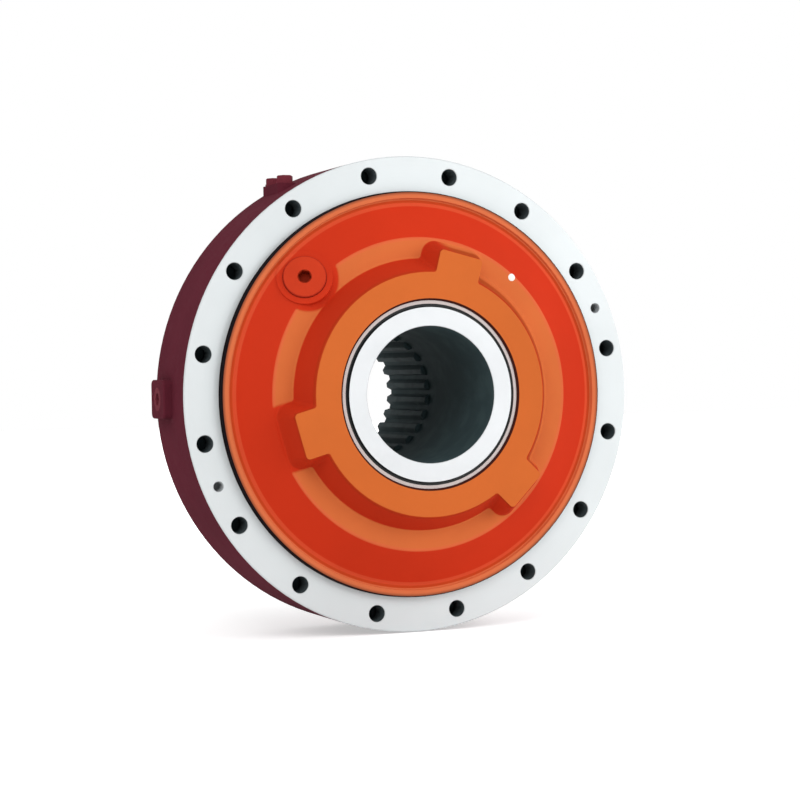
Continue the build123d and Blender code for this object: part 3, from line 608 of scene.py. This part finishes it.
def cover_coat(graph: Graph, zones: CoverZones) -> Socket:
    """Colours of the cover's dome, from the rim to the hub, with painted light and shade.

    Faces square to the shaft are orange and the cone is red. The steep walls and one lobe's foot are darker
    as painted shade, with painted highlight and shade lines along the rounded edges, the groove and the rim.

    Args:
        graph: Graph of the cover's material.
        zones: Where the tones change.

    Returns:
        The colour.
    """
    ramp, radius, depth = graph.ramp, graph.radius, graph.y
    # Painted shade: the foot of one lobe, on the left, is painted red instead of orange
    turn = math.radians(zones.shaded_lobe_angle)
    across = graph.from_line((0.0, 0.0, 0.0), (math.cos(turn), 0.0, math.sin(turn)))
    upward = graph.maths("MULTIPLY", graph.z, math.sin(turn))
    along = graph.maths("MULTIPLY_ADD", graph.x, math.cos(turn), upward)
    shaded_lobe_foot = graph.both(ramp(across, zones.shaded_lobe_within), ramp(along, zones.shaded_lobe_from))
    from_plug = graph.from_line(millimetres(zones.plug_at), zones.plug_out)
    boss_foot = ramp(from_plug, zones.boss_within)
    clear_of_feet = graph.maths("SUBTRACT", 1.0, graph.maths("MAXIMUM", shaded_lobe_foot, boss_foot))
    on_shelf = ramp(depth, zones.shelf_behind)
    shelf = graph.both(on_shelf, ramp(radius, zones.shelf_within), clear_of_feet)
    # Painted highlight along the ledge's rounded edge
    shelf_highlight = graph.both(
        ramp(depth, zones.shelf_highlight_behind),
        clear_of_feet,
        ramp(radius, zones.shelf_highlight_within),
        ramp(radius, zones.shelf_highlight_from),
    )
    # Painted shade: the hub's walls on the right are painted brown, turning orange towards their foot
    right = graph.both(ramp(graph.x, zones.wall_shade_right), ramp(graph.z, zones.wall_shade_above))
    wall_shade = graph.blend(ramp(depth, zones.wall_shade_behind), SHADED_WALL_BROWN.tone, SHELF_ORANGE.tone)
    wall = graph.blend(right, SHADED_WALL_RED.tone, wall_shade)
    cone = graph.maths("MAXIMUM", ramp(radius, zones.cone_from), boss_foot)
    red_cone_and_foot = graph.maths("MAXIMUM", cone, graph.both(shaded_lobe_foot, on_shelf))
    painted = graph.blend(red_cone_and_foot, wall, CONE_RED.tone)
    # Orange faces, then painted highlight and painted shade lines over the edges, the cone's foot, the groove
    # and the rim
    for mask, finish in (
        (shelf, SHELF_ORANGE),
        (graph.maths("MULTIPLY", shelf_highlight, SHELF_HIGHLIGHT_SHARE), SHELF_HIGHLIGHT),
        (ramp(depth, zones.nose_shade_before), NOSE_SHADE),
        (ramp(depth, zones.nose_before), FLAT_ORANGE),
        (ramp(radius, zones.cone_highlight_from), CONE_HIGHLIGHT),
        (ramp(radius, zones.groove_shade_from), GROOVE_SHADE),
        (ramp(radius, zones.rim_from), RIM_ORANGE),
        (ramp(radius, zones.rim_edge_shade_from), RIM_EDGE_SHADE),
    ):
        painted = graph.blend(mask, painted, finish.tone)
    return graph.shade(painted, *COAT_PATCHES)


def cover_paint(zones: CoverZones) -> bpy.types.Material:
    """Front cover: painted dome, bare mounting ring, near-black spigot with painted shadow at its edge,
    painted shade in the bore before the seal and under the plug's head, and the flange's edge in the drum's
    shaded maroon.

    Args:
        zones: Where the finishes change.

    Returns:
        The material.
    """
    graph = Graph("cover_paint")
    ramp, radius, depth = graph.ramp, graph.radius, graph.y
    from_plug = graph.from_line(millimetres(zones.plug_at), zones.plug_out)
    recess = graph.both(
        ramp(from_plug, zones.recess_within),
        ramp(depth, zones.recess_before),
        ramp(radius, zones.recess_from),
    )
    # Painted shade in the bore before the seal
    mouth = graph.both(ramp(radius, zones.mouth_within), ramp(depth, zones.mouth_before))
    ring_face = graph.both(
        ramp(radius, zones.ring_from), ramp(depth, zones.ring_before), ramp(depth, zones.ring_behind)
    )
    # Near black over the spigot's side, carried onto the ring face as painted shadow
    spigot = graph.both(ramp(radius, zones.spigot_from), ramp(radius, zones.spigot_within))
    # The flange's edge in the drum's maroon, painted shade
    edge = graph.both(ramp(radius, zones.edge_from), ramp(depth, zones.edge_behind))
    inside = graph.both(ramp(radius, zones.inside_within), ramp(depth, zones.inside_behind))
    walls = []
    for middle in on_circle(zones.jack_circle * MM, np.array(zones.jack_angles), 0.0).tolist():
        walls.append(ramp(graph.from_line(tuple(middle), SHAFT_AXIS), zones.jack_within))
    jack = graph.both(graph.maths("MAXIMUM", *walls), ramp(depth, zones.jack_behind))
    rings = graph.rings(700.0)
    bare = graph.blend(graph.maths("MULTIPLY", rings, TURNING_SHARE), MACHINED.tone, TURNING_MARKS.tone)
    colour = cover_coat(graph, zones)
    rough = graph.spread(graph.noise(50.0), CONE_RED.roughness, 0.12)
    for mask, shown, finish in (
        (edge, graph.shade(SHADED_DRUM_MAROON.tone, *PAINT_PATCHES), SHADED_DRUM_MAROON),
        (inside, HOLE_DARK.tone, HOLE_DARK),
        (recess, SEAT_SHADOW.tone, SEAT_SHADOW),
        (mouth, MOUTH_SHADE.tone, MOUTH_SHADE),
        (spigot, SPIGOT_DARK.tone, SPIGOT_DARK),
        (ring_face, graph.shade(bare, *RING_PATCHES), MACHINED),
        (jack, JACK_GREY.tone, JACK_GREY),
    ):
        colour = graph.blend(mask, colour, shown)
        rough = graph.level(mask, rough, finish.roughness)
    metal = graph.maths("MULTIPLY", ring_face, MACHINED.metallic)
    graph.surface(colour, rough, metal, PAINT_GLOSS)
    cast = graph.maths("ADD", graph.noise(300.0, 3.0), graph.maths("MULTIPLY", graph.noise(45.0, 2.0), 3.0))
    graph.relief(graph.level(ring_face, cast, graph.maths("MULTIPLY", rings, 0.4)), COAT_RELIEF)
    return graph.material


def plug_paint(zones: CoverZones) -> bpy.types.Material:
    """Filler plug: painted with the cover, with painted shade in its hexagon socket and painted shadow where
    its edge meets the spot face.

    Args:
        zones: The cover's zones, which hold the plug's axis.

    Returns:
        The material.
    """
    graph = Graph("plug_paint")
    away = graph.from_line(millimetres(zones.plug_at), zones.plug_out)
    # Painted shadow round the head's edge, and painted shade in the hexagon socket
    rim, socket = (20.2, 21.9), (7.6, 7.0)
    colour = graph.shade(PLUG_RED.tone, *PLUG_PATCHES)
    colour = graph.blend(graph.ramp(away, rim), colour, PLUG_SHADOW.tone)
    colour = graph.blend(graph.ramp(away, socket), colour, SOCKET_SHADE.tone)
    graph.surface(colour, PLUG_RED.roughness, PLUG_RED.metallic, PAINT_GLOSS)
    graph.relief(graph.noise(260.0, 3.0), COAT_RELIEF)
    return graph.material


@dataclass(frozen=True)
class ShaftZones:
    """Places where the shaft's surface changes, as pairs like those of the cover.

    Attributes:
        end_before: Depth of the bright front end.
        bore_within: Wall of the bore.
        bore_behind: Depth where the bore's painted shade starts.
        shaded_side_from: Side of the shaft in front of the seal, painted near black as painted shade.
        shaded_side_before: Depth of that side.
        teeth_within: Spline teeth, a lighter grey than the bore's painted shade.
    """

    end_before: Limits = (-47.8, -48.1)
    bore_within: Limits = (70.5, 70.2)
    bore_behind: Limits = (-48.6, -48.3)
    shaded_side_from: Limits = (88.9, 89.2)
    shaded_side_before: Limits = (-40.0, -42.0)
    teeth_within: Limits = (67.0, 64.0)


def shaft_steel(zones: ShaftZones) -> bpy.types.Material:
    """Shaft: bright turned end, bore and splines darkened as painted shade, its side before the seal near
    black as painted shade, ground journals.

    Args:
        zones: Where the surface changes.

    Returns:
        The material.
    """
    graph = Graph("shaft_steel")
    ramp, radius, depth = graph.ramp, graph.radius, graph.y
    rings = graph.rings(900.0)
    end = ramp(depth, zones.end_before)
    bore = graph.both(ramp(radius, zones.bore_within), ramp(depth, zones.bore_behind))
    # Painted shade: near black on the shaft's side in the gap before the seal
    side = graph.both(ramp(radius, zones.shaded_side_from), ramp(depth, zones.shaded_side_before))
    colour = graph.shade(GROUND.tone, *JOURNAL_PATCHES)
    colour = graph.blend(end, colour, graph.shade(SHAFT_END.tone, *END_PATCHES))
    # Painted shade of the deep bore, with paler random patches and a lighter grey on the spline teeth
    shaded_bore = graph.blend(graph.step(graph.noise(40.0), 0.4, 0.7), BORE_SHADE.tone, BORE_PALE_PATCH.tone)
    teeth = graph.shade(TOOTH_GREY.tone, *TOOTH_PATCHES)
    shaded_bore = graph.blend(ramp(radius, zones.teeth_within), shaded_bore, teeth)
    colour = graph.blend(bore, colour, shaded_bore)
    colour = graph.blend(side, colour, SHAFT_SIDE_SHADE.tone)
    dark = graph.maths("MAXIMUM", bore, side)
    rough = graph.level(dark, graph.maths("MULTIPLY_ADD", rings, 0.18, GROUND.roughness), BORE_SHADE.roughness)
    metal = graph.level(dark, graph.level(end, GROUND.metallic, SHAFT_END.metallic), BORE_SHADE.metallic)
    graph.surface(colour, rough, metal, SHAFT_GLOSS)
    graph.relief(rings, TURNED_RELIEF)
    return graph.material


def rubber(name: str) -> bpy.types.Material:
    """Black seal rubber with a matt, slightly mottled skin.

    Args:
        name: Name of the material.

    Returns:
        The material.
    """
    graph = Graph(name)
    colour = graph.blend(graph.noise(180.0), RUBBER.tone, RUBBER_BLOOM.tone)
    graph.surface(colour, RUBBER.roughness, RUBBER.metallic)
    graph.relief(graph.noise(700.0, 2.0), RUBBER_RELIEF)
    return graph.material


class Finishes:
    """All materials of the motor, each made once."""

    def __init__(self) -> None:
        """Makes every material."""
        zones = CoverZones()
        self.cover = cover_paint(zones)
        self.shaft = shaft_steel(ShaftZones())
        # Drum and rear covers in the body's paint darkened to maroon, painted shade
        self.drum = paint("drum_paint", SHADED_DRUM_MAROON, bare=((232.0, 200.0),))
        self.rear = paint("rear_paint", SHADED_REAR_MAROON, gloss=REAR_GLOSS, bare=((233.0, 102.4), (128.0, 222.0)))
        # Painted light: the drum's plugs take a lighter copy of its maroon
        self.lit_drum_plugs = paint("lit_drum_plug_paint", LIT_PLUG_MAROON)
        self.plug = plug_paint(zones)
        self.jack = plain_metal("jack_thread_steel", JACK_GREY)
        self.dot = paint("dot_paint", DOT_WHITE, FINE_GRAIN)
        self.seal_case = turned_metal("seal_steel", SEAL_SILVER)
        self.race = turned_metal("race_steel", GROUND, 1400.0)
        self.cage = turned_metal("cage_brass", BRASS)
        self.valve = turned_metal("valve_iron", IRON)
        self.roller = plain_metal("roller_steel", GROUND)
        self.piston = plain_metal("piston_steel", GROUND)
        self.ring = plain_metal("ring_iron", IRON)
        self.sleeve = plain_metal("sleeve_steel", GROUND)
        self.spring = plain_metal("spring_steel", SPRING_BLUE)
        self.screw = plain_metal("screw_steel", BLACK_SCREW)
        self.hole = plain_metal("thread_steel", HOLE_DARK)
        self.washer = plain_metal("washer_copper", COPPER)
        self.rubber = rubber("seal_rubber")

    def for_node(self, name: str) -> bpy.types.Material:
        """Picks the material of a CAD node by the piece that it is.

        Args:
            name: Name of the CAD node.

        Returns:
            Its material.
        """
        exact = {
            "front_cover": self.cover,
            "cover_plug": self.plug,
            "cover_plug_washer": self.washer,
            "cylinder_block": self.shaft,
            "bleed_plugs": self.lit_drum_plugs,
            "drain_plug": self.lit_drum_plugs,
            "rear_cover": self.rear,
            "connection_housing": self.rear,
            "valve_plate": self.valve,
            "valve_sleeves": self.sleeve,
            "valve_springs": self.spring,
            "shaft_snap_rings": self.spring,
            "case_seals": self.rubber,
        }
        endings = {
            "_seal_case": self.seal_case,
            "_seal_lip": self.rubber,
            "_race": self.race,
            "_cage": self.cage,
            "_bearing_rollers": self.roller,
            "_screws": self.screw,
            "_pins": self.screw,
        }
        starts = {"piston_ring_": self.ring, "piston_": self.piston, "cam_roller_": self.roller}
        found = exact.get(name)
        found = found or next((m for end, m in endings.items() if name.endswith(end)), None)
        found = found or next((m for start, m in starts.items() if name.startswith(start)), None)
        return found or self.drum


def dress_frame(finishes: Finishes) -> None:
    """Gives every CAD node its material.

    Args:
        finishes: The motor's materials.
    """
    for name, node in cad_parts.items():
        node.data.materials.clear()
        node.data.materials.append(finishes.for_node(name))
    LOG.info("dressed %d CAD nodes", len(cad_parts))


def grid_faces(rows: int, columns: int, first: int = 0) -> np.ndarray:
    """Quads of a surface whose rows follow each other and whose columns close round.

    Args:
        rows: Number of point rows.
        columns: Points in a row.
        first: Number of the first point.

    Returns:
        One line of four point numbers for each quad.
    """
    row, column = np.meshgrid(np.arange(rows - 1), np.arange(columns), indexing="ij")
    after = (column + 1) % columns
    this, below = row * columns, (row + 1) * columns
    corners = (this + column, this + after, below + after, below + column)
    return np.stack(corners, axis=-1).reshape(-1, 4) + first


def add_piece(
    name: str,
    points: np.ndarray,
    faces: list[tuple[int, ...]],
    material: bpy.types.Material,
    body: Body,
    slot: Slot,
) -> None:
    """Makes a mesh piece at the origin, with normals outwards, riding on a body.

    Args:
        name: Name of the piece.
        points: Points in metres, one row each.
        faces: Point numbers of each face.
        material: Its material.
        body: Body that it moves with.
        slot: Record slot for its finish. Not used.
    """
    mesh = bpy.data.meshes.new(name)
    mesh.from_pydata(points.tolist(), [], faces)
    mesh.validate()
    mesh.materials.append(material)
    piece = bpy.data.objects.new(name, mesh)
    bpy.context.scene.collection.objects.link(piece)
    bpy.context.view_layer.objects.active = piece
    piece.select_set(True)
    bpy.ops.object.mode_set(mode="EDIT")
    bpy.ops.mesh.select_all(action="SELECT")
    bpy.ops.mesh.normals_make_consistent(inside=False)
    bpy.ops.object.mode_set(mode="OBJECT")
    piece.select_set(False)
    mesh.polygons.foreach_set("use_smooth", np.ones(len(mesh.polygons), dtype=bool))
    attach(piece, body.value)
    LOG.info("piece %s: %d faces", name, len(faces))


@dataclass(frozen=True)
class Thread:
    """Size of an internal thread, in millimetres.

    Attributes:
        radius: Radius of the hole's wall.
        pitch: Distance between neighbouring crests.
        length: Threaded length.
    """

    radius: float
    pitch: float
    length: float


@dataclass
class ThreadedHoles:
    """Internal threads that stand on the walls of equal holes.

    Attributes:
        name: Name of the piece.
        mouths: Centres of the holes' mouths, one row each, in metres.
        outward: Directions out of the mouths, one row each.
        thread: Size of the thread.
        body: Body that the holes are in.
        slot: Record slot of that body's finish.
    """

    steps_per_turn = 20
    run_out_share = 0.25
    sunk = 0.04 * MM
    # Shares of the pitch
    crest_height = 0.32
    half_foot = 0.36
    first_crest = 0.8

    name: str
    mouths: np.ndarray
    outward: np.ndarray
    thread: Thread
    body: Body
    slot: Slot

    def build(self, material: bpy.types.Material) -> None:
        """Builds the threads as one piece.

        Each thread is a triangle swept along a helix. The triangle's crest lies at the wall's radius less
        a third of a pitch times a run-out that grows to 1 over the first and last quarter turn, and its
        two feet lie just inside the wall. The helix falls by one pitch with each turn from the mouth.

        Args:
            material: Material of the threads.
        """
        radius, pitch, length = (self.thread.radius * MM, self.thread.pitch * MM, self.thread.length * MM)
        turns = length / pitch - 2
        steps = int(turns * self.steps_per_turn)
        turn = np.linspace(0, turns, steps)
        run_out = np.clip(np.minimum(turn, turns - turn) / self.run_out_share, 0.05, 1)
        crest = radius - self.crest_height * pitch * run_out
        foot = np.full(steps, radius + self.sunk)
        reach = np.stack((foot, crest, foot), axis=1)
        profile = np.array((-self.half_foot, 0.0, self.half_foot))
        along = -(turn[:, None] + self.first_crest + profile) * pitch
        angle = 2 * np.pi * turn[:, None]
        local = np.stack((reach * np.cos(angle), reach * np.sin(angle), along), axis=-1)
        helper = np.where(np.abs(self.outward[:, 1:2]) > 0.9, [[1.0, 0.0, 0.0]], [[0.0, 1.0, 0.0]])
        side = np.cross(helper, self.outward)
        side /= np.linalg.norm(side, axis=1, keepdims=True)
        other = np.cross(self.outward, side)
        basis = np.stack((side, other, self.outward), axis=1)
        points = np.einsum("spk,hkj->hspj", local, basis) + self.mouths[:, None, None, :]
        each = steps * 3
        starts = [hole * each for hole in range(len(self.mouths))]
        faces = [tuple(face) for first in starts for face in grid_faces(steps, 3, first).tolist()]
        faces += [(first + 2, first + 1, first) for first in starts]
        faces += [(first + each - 3, first + each - 2, first + each - 1) for first in starts]
        add_piece(self.name, points.reshape(-1, 3), faces, material, self.body, self.slot)


def on_circle(radius: float, angles: np.ndarray, depth: float) -> np.ndarray:
    """Points on a circle about the shaft.

    Args:
        radius: Radius of the circle in metres.
        angles: Angles in degrees.
        depth: Their place along Y in metres.

    Returns:
        One row of coordinates for each angle.
    """
    turn = np.radians(angles)
    return np.stack((radius * np.cos(turn), np.full_like(turn, depth), radius * np.sin(turn)), axis=1)


class Threads:
    """All threads that can be seen in open holes.

    Args:
        material: Dark thread steel.
        jack_material: Brighter steel of the jacking holes.
    """

    bolt_circle = 230 * MM
    mounting_angles = 11.25 + 22.5 * np.arange(16)
    jacking_angles = np.array([22.5, 202.5])
    retainer_circle = 77 * MM
    retainer_angles = 60.0 * np.arange(6)
    drain_mouth = np.array([[255.5, 68.0, 0.0]]) * MM
    # Port bolts in millimetres: distance of both faces from the middle, depth, and the bolts' offsets
    port_face = 172.06
    port_middle = 199.0
    port_bolts = ((-15.9, 15.9), (-33.35, 33.35))

    def __init__(self, material: bpy.types.Material, jack_material: bpy.types.Material) -> None:
        """Keeps the two materials and finds the shaft's rear face."""
        self.material = material
        self.jack_material = jack_material
        self.shaft_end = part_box("cylinder_block")[1].y

    def build(self) -> None:
        """Builds the threads of the mounting, jacking, drain, port and retainer holes."""
        front, right = np.array([[0.0, -1.0, 0.0]]), np.array([[1.0, 0.0, 0.0]])
        mounting = on_circle(self.bolt_circle, self.mounting_angles, 0.0)
        jacking = on_circle(self.bolt_circle, self.jacking_angles, 0.0)
        retainer = on_circle(self.retainer_circle, self.retainer_angles, self.shaft_end)
        side, depth, height = np.meshgrid((-1.0, 1.0), *self.port_bolts, indexing="ij")
        ports = np.stack((side * self.port_face, self.port_middle + depth, height), axis=-1) * MM
        ports_out = side.reshape(-1, 1) * right
        sets = (
            ("mounting_threads", mounting, front, Thread(8.75, 2.5, 27.0), Slot.COVER),
            ("jacking_threads", jacking, front, Thread(5.1, 1.75, 15.0), Slot.COVER),
            ("drain_threads", self.drain_mouth, right, Thread(12.1, 1.8, 16.0), Slot.DRUM),
            ("port_bolt_threads", ports.reshape(-1, 3), ports_out, Thread(6.0, 2.0, 24.0), Slot.HOUSING),
            ("retainer_threads", retainer, -front, Thread(3.4, 1.25, 16.0), Slot.SHAFT),
        )
        for name, mouths, outward, thread, slot in sets:
            body = Body.SHAFT if slot is Slot.SHAFT else Body.HOUSING
            holes = ThreadedHoles(name, mouths, np.broadcast_to(outward, mouths.shape), thread, body, slot)
            holes.build(self.jack_material if name == "jacking_threads" else self.material)


@dataclass
class PaintDot:
    """The small white inspection dot on the edge of the cover's ledge.

    Attributes:
        radius: Distance from the shaft.
        angle: Angle about the shaft in degrees.
        size: Radius of the dot.
        thickness: Height of the paint over the cover.
    """

    # The cover's turned profile under the dot
    profile_radii = np.array([120.0, 160.39, 161.06, 161.67, 198.0]) * MM
    profile_depths = np.array([-23.5, -23.5, -23.43, -23.21, -6.0]) * MM
    spokes = 48
    circles = 10
    innermost = 0.02
    lifted = 0.02 * MM
    sunk = 0.1 * MM

    radius: float = 158.7 * MM
    angle: float = 49.2
    size: float = 3.9 * MM
    thickness: float = 0.25 * MM

    def build(self, material: bpy.types.Material) -> None:
        """Builds the dot as a thin lens laid on the ledge and its rounded edge.

        A point at share s of the dot's radius stands thickness * (1 - s^4) above the cover. The cover's
        depth at radius r is read from its turned profile: flat up to the fillet, then the cone.

        Args:
            material: White paint.
        """
        around = np.linspace(0, 2 * np.pi, self.spokes, endpoint=False)
        shares = np.linspace(1, self.innermost, self.circles)
        share, turn = np.meshgrid(shares, around, indexing="ij")
        middle = on_circle(self.radius, np.array([self.angle]), 0.0)[0]
        across = middle[0] + self.size * share * np.cos(turn)
        up = middle[2] + self.size * share * np.sin(turn)
        ground = np.interp(np.hypot(across, up), self.profile_radii, self.profile_depths)
        top = ground - self.thickness * (1 - share**4) - self.lifted
        points = np.stack((across, top, up), axis=-1).reshape(-1, 3)
        back = np.stack((across[0], ground[0] + self.sunk, up[0]), axis=-1)
        rows, columns = share.shape
        skirt = grid_faces(2, columns)
        skirt = np.where(skirt < columns, skirt + rows * columns, skirt - columns)
        faces = [tuple(face) for face in np.concatenate((grid_faces(rows, columns), skirt)).tolist()]
        faces.append(tuple(range((rows - 1) * columns, rows * columns)))
        faces.append(tuple(range(rows * columns, (rows + 1) * columns)))
        points = np.concatenate((points, back))
        add_piece("paint_dot", points, faces, material, Body.HOUSING, Slot.COVER)


@dataclass
class Knurling:
    """Fine ridges round the heads of socket cap screws at the rear.

    Attributes:
        name: Name of the piece.
        centres: Middles of the heads' seats, one row each, in metres.
        radius: Radius of a head.
        height: Height of a head.
    """

    ribs = 48
    points_per_rib = 4
    rib_height = 0.28 * MM
    lifted = 0.02 * MM
    sunk = 0.3 * MM
    # Rows of the sleeve: their heights as shares of the head's, and how much of a rib each has
    levels = np.array([0.12, 0.16, 0.5, 0.82, 0.86])
    swell = np.array([0.0, 1.0, 1.0, 1.0, 0.0])

    name: str
    centres: np.ndarray
    radius: float = 10.5 * MM
    height: float = 14 * MM

    def build(self, material: bpy.types.Material) -> None:
        """Builds a ribbed sleeve round every head.

        The sleeve's outer radius is the head's radius plus a wave with one crest for each rib. The wave
        fades to nothing at both ends of the knurled band.

        Args:
            material: Black screw steel.
        """
        columns = self.ribs * self.points_per_rib
        level = self.levels * self.height
        turn = np.linspace(0, 2 * np.pi, columns, endpoint=False)
        wave = 0.5 + 0.5 * np.cos(self.ribs * turn)
        outer = self.radius + self.lifted + self.rib_height * self.swell[:, None] * wave
        inner = np.full((2, columns), self.radius - self.sunk)
        reach = np.concatenate((outer, inner))
        depth = np.concatenate((level, level[[-1, 0]]))[:, None] + 0 * turn
        local = np.stack((reach * np.cos(turn), depth, reach * np.sin(turn)), axis=-1).reshape(-1, 3)
        points = local[None] + self.centres[:, None, :]
        rows = len(reach)
        lid = np.stack((np.arange(columns), (np.arange(columns) + 1) % columns), axis=1)
        close = np.concatenate((lid + (rows - 1) * columns, lid[:, ::-1]), axis=1)
        one = np.concatenate((grid_faces(rows, columns), close))
        faces = np.concatenate([one + k * rows * columns for k in range(len(self.centres))])
        made = [tuple(face) for face in faces.tolist()]
        add_piece(self.name, points.reshape(-1, 3), made, material, Body.HOUSING, Slot.SCREW)


@dataclass(frozen=True)
class Lamp:
    """A soft square lamp aimed at the motor.

    Attributes:
        name: Name of the lamp.
        place: Where it stands, in metres.
        size: Side length in metres.
        power: Power in watts.
    """

    name: str
    place: Point
    size: float
    power: float

    def build(self) -> None:
        """Adds the lamp."""
        data = bpy.data.lights.new(self.name, "AREA")
        data.shape = "SQUARE"
        data.size = self.size
        data.energy = self.power
        lamp = bpy.data.objects.new(self.name, data)
        lamp.location = self.place
        lamp.rotation_mode = "QUATERNION"
        lamp.rotation_quaternion = (-Vector(self.place)).to_track_quat("-Z", "Y")
        bpy.context.scene.collection.objects.link(lamp)


class Studio:
    """Floor, light and the camera of the photograph."""

    lens = 95.36
    sensor = 36.0
    clip = (0.05, 50.0)
    bolt_radius = 0.230
    distance = 9.5699 * bolt_radius
    right_shift = -0.0609 * bolt_radius
    up_shift = -0.0246 * bolt_radius
    yaw = math.radians(21.689)
    pitch = math.radians(0.898)
    roll = math.radians(-1.052)
    floor_drop = 0.5 * MM
    floor_reach = 8.0
    floor_fade = (0.45, 1.3)
    floor_glow = (0.45, 1.0)
    floor_greys = ((0.86, 0.86, 0.86), (0.9, 0.9, 0.9))
    floor_roughness = 0.9
    world_strength = (0.55, 1.0)
    lamps = (
        Lamp("key", (-1.5, -2.2, 1.9), 1.8, 34.5),
        Lamp("fill", (2.0, -1.8, 0.9), 2.0, 35.0),
        Lamp("rear", (2.3, 2.0, 0.7), 2.0, 36.0),
    )

    def camera(self) -> None:
        """Places the camera by the angles and distance that fit the photograph."""
        flat = math.cos(self.pitch)
        back = Vector((-math.sin(self.yaw) * flat, -math.cos(self.yaw) * flat, math.sin(self.pitch)))
        right = (-back).cross(Vector((0, 0, 1))).normalized()
        up = right.cross(-back)
        across = right * math.cos(self.roll) + up * math.sin(self.roll)
        upward = up * math.cos(self.roll) - right * math.sin(self.roll)
        data = bpy.data.cameras.new("camera")
        data.lens = self.lens
        data.sensor_width = self.sensor
        data.clip_start, data.clip_end = self.clip
        eye = bpy.data.objects.new("camera", data)
        turned = Matrix((across, upward, back)).transposed().to_4x4()
        turned.translation = back * self.distance + right * self.right_shift + up * self.up_shift
        eye.matrix_world = turned
        bpy.context.scene.collection.objects.link(eye)
        bpy.context.scene.camera = eye

    def world(self) -> None:
        """White backdrop for what the camera and reflections see, softer light for the rest."""
        world = bpy.data.worlds.new("studio")
        bpy.context.scene.world = world
        world.use_nodes = True
        tree = world.node_tree
        background = tree.nodes["Background"]
        rays = tree.nodes.new("ShaderNodeLightPath")
        seen = rays.outputs["Is Camera Ray"]
        for kind in ("Is Transmission Ray", "Is Glossy Ray"):
            either = tree.nodes.new("ShaderNodeMath")
            either.operation = "MAXIMUM"
            tree.links.new(seen, either.inputs[0])
            tree.links.new(rays.outputs[kind], either.inputs[1])
            seen = either.outputs[0]
        strength = tree.nodes.new("ShaderNodeMapRange")
        strength.inputs["To Min"].default_value = self.world_strength[0]
        strength.inputs["To Max"].default_value = self.world_strength[1]
        tree.links.new(seen, strength.inputs["Value"])
        tree.links.new(strength.outputs["Result"], background.inputs["Strength"])
        background.inputs["Color"].default_value = (*WHITE, 1.0)

    def floor(self, height: float) -> None:
        """Adds a pale floor that fades into the white backdrop and keeps the motor's shadow.

        Args:
            height: Height of the floor in metres.
        """
        mesh = bpy.data.meshes.new("floor")
        reach = self.floor_reach
        square = ((-reach, -reach), (reach, -reach), (reach, reach), (-reach, reach))
        mesh.from_pydata([(x, y, height) for x, y in square], [], [(0, 1, 2, 3)])
        floor = bpy.data.objects.new("floor", mesh)
        bpy.context.scene.collection.objects.link(floor)
        graph = Graph("floor")
        rays = graph.node("ShaderNodeLightPath").outputs
        away = graph.node("ShaderNodeVectorMath", graph.place, operation="LENGTH").outputs["Value"]
        colour = graph.blend(graph.noise(3.0), *self.floor_greys)
        graph.surface(colour, self.floor_roughness, 0.0)
        graph.put(graph.shader.inputs["Emission Color"], WHITE)
        seen = graph.maths("MAXIMUM", rays["Is Camera Ray"], rays["Is Transmission Ray"])
        seen = graph.maths("MAXIMUM", seen, rays["Is Glossy Ray"])
        glow = graph.level(graph.step(away, *self.floor_fade), *self.floor_glow)
        graph.put(graph.shader.inputs["Emission Strength"], graph.maths("MULTIPLY", seen, glow))
        mesh.materials.append(graph.material)
        floor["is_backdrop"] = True

    def build(self, lowest: float) -> None:
        """Builds the whole studio.

        Args:
            lowest: Height of the motor's lowest point.
        """
        self.camera()
        self.world()
        self.floor(lowest - self.floor_drop)
        for lamp in self.lamps:
            lamp.build()


def main() -> None:
    """Builds the looks in order."""
    logging.basicConfig(level=logging.INFO, format="%(name)s: %(message)s")
    cad_low, cad_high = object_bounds()
    bpy.context.scene.view_settings.view_transform = "Standard"
    finishes = Finishes()
    dress_frame(finishes)
    Threads(finishes.hole, finishes.jack).build()
    PaintDot().build(finishes.dot)
    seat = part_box("housing_screws")[1].y - Knurling.height
    heads = on_circle(HOUSING_SCREW_CIRCLE, HOUSING_SCREW_ANGLES, seat)
    Knurling("housing_screw_knurls", heads).build(finishes.screw)
    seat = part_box("connection_screws")[1].y - Knurling.height
    heads = on_circle(CONNECTION_SCREW_CIRCLE, CONNECTION_SCREW_ANGLES, seat)
    Knurling("connection_screw_knurls", heads).build(finishes.screw)
    Studio().build(cad_low.z)


if __name__ == "__main__":
    main()
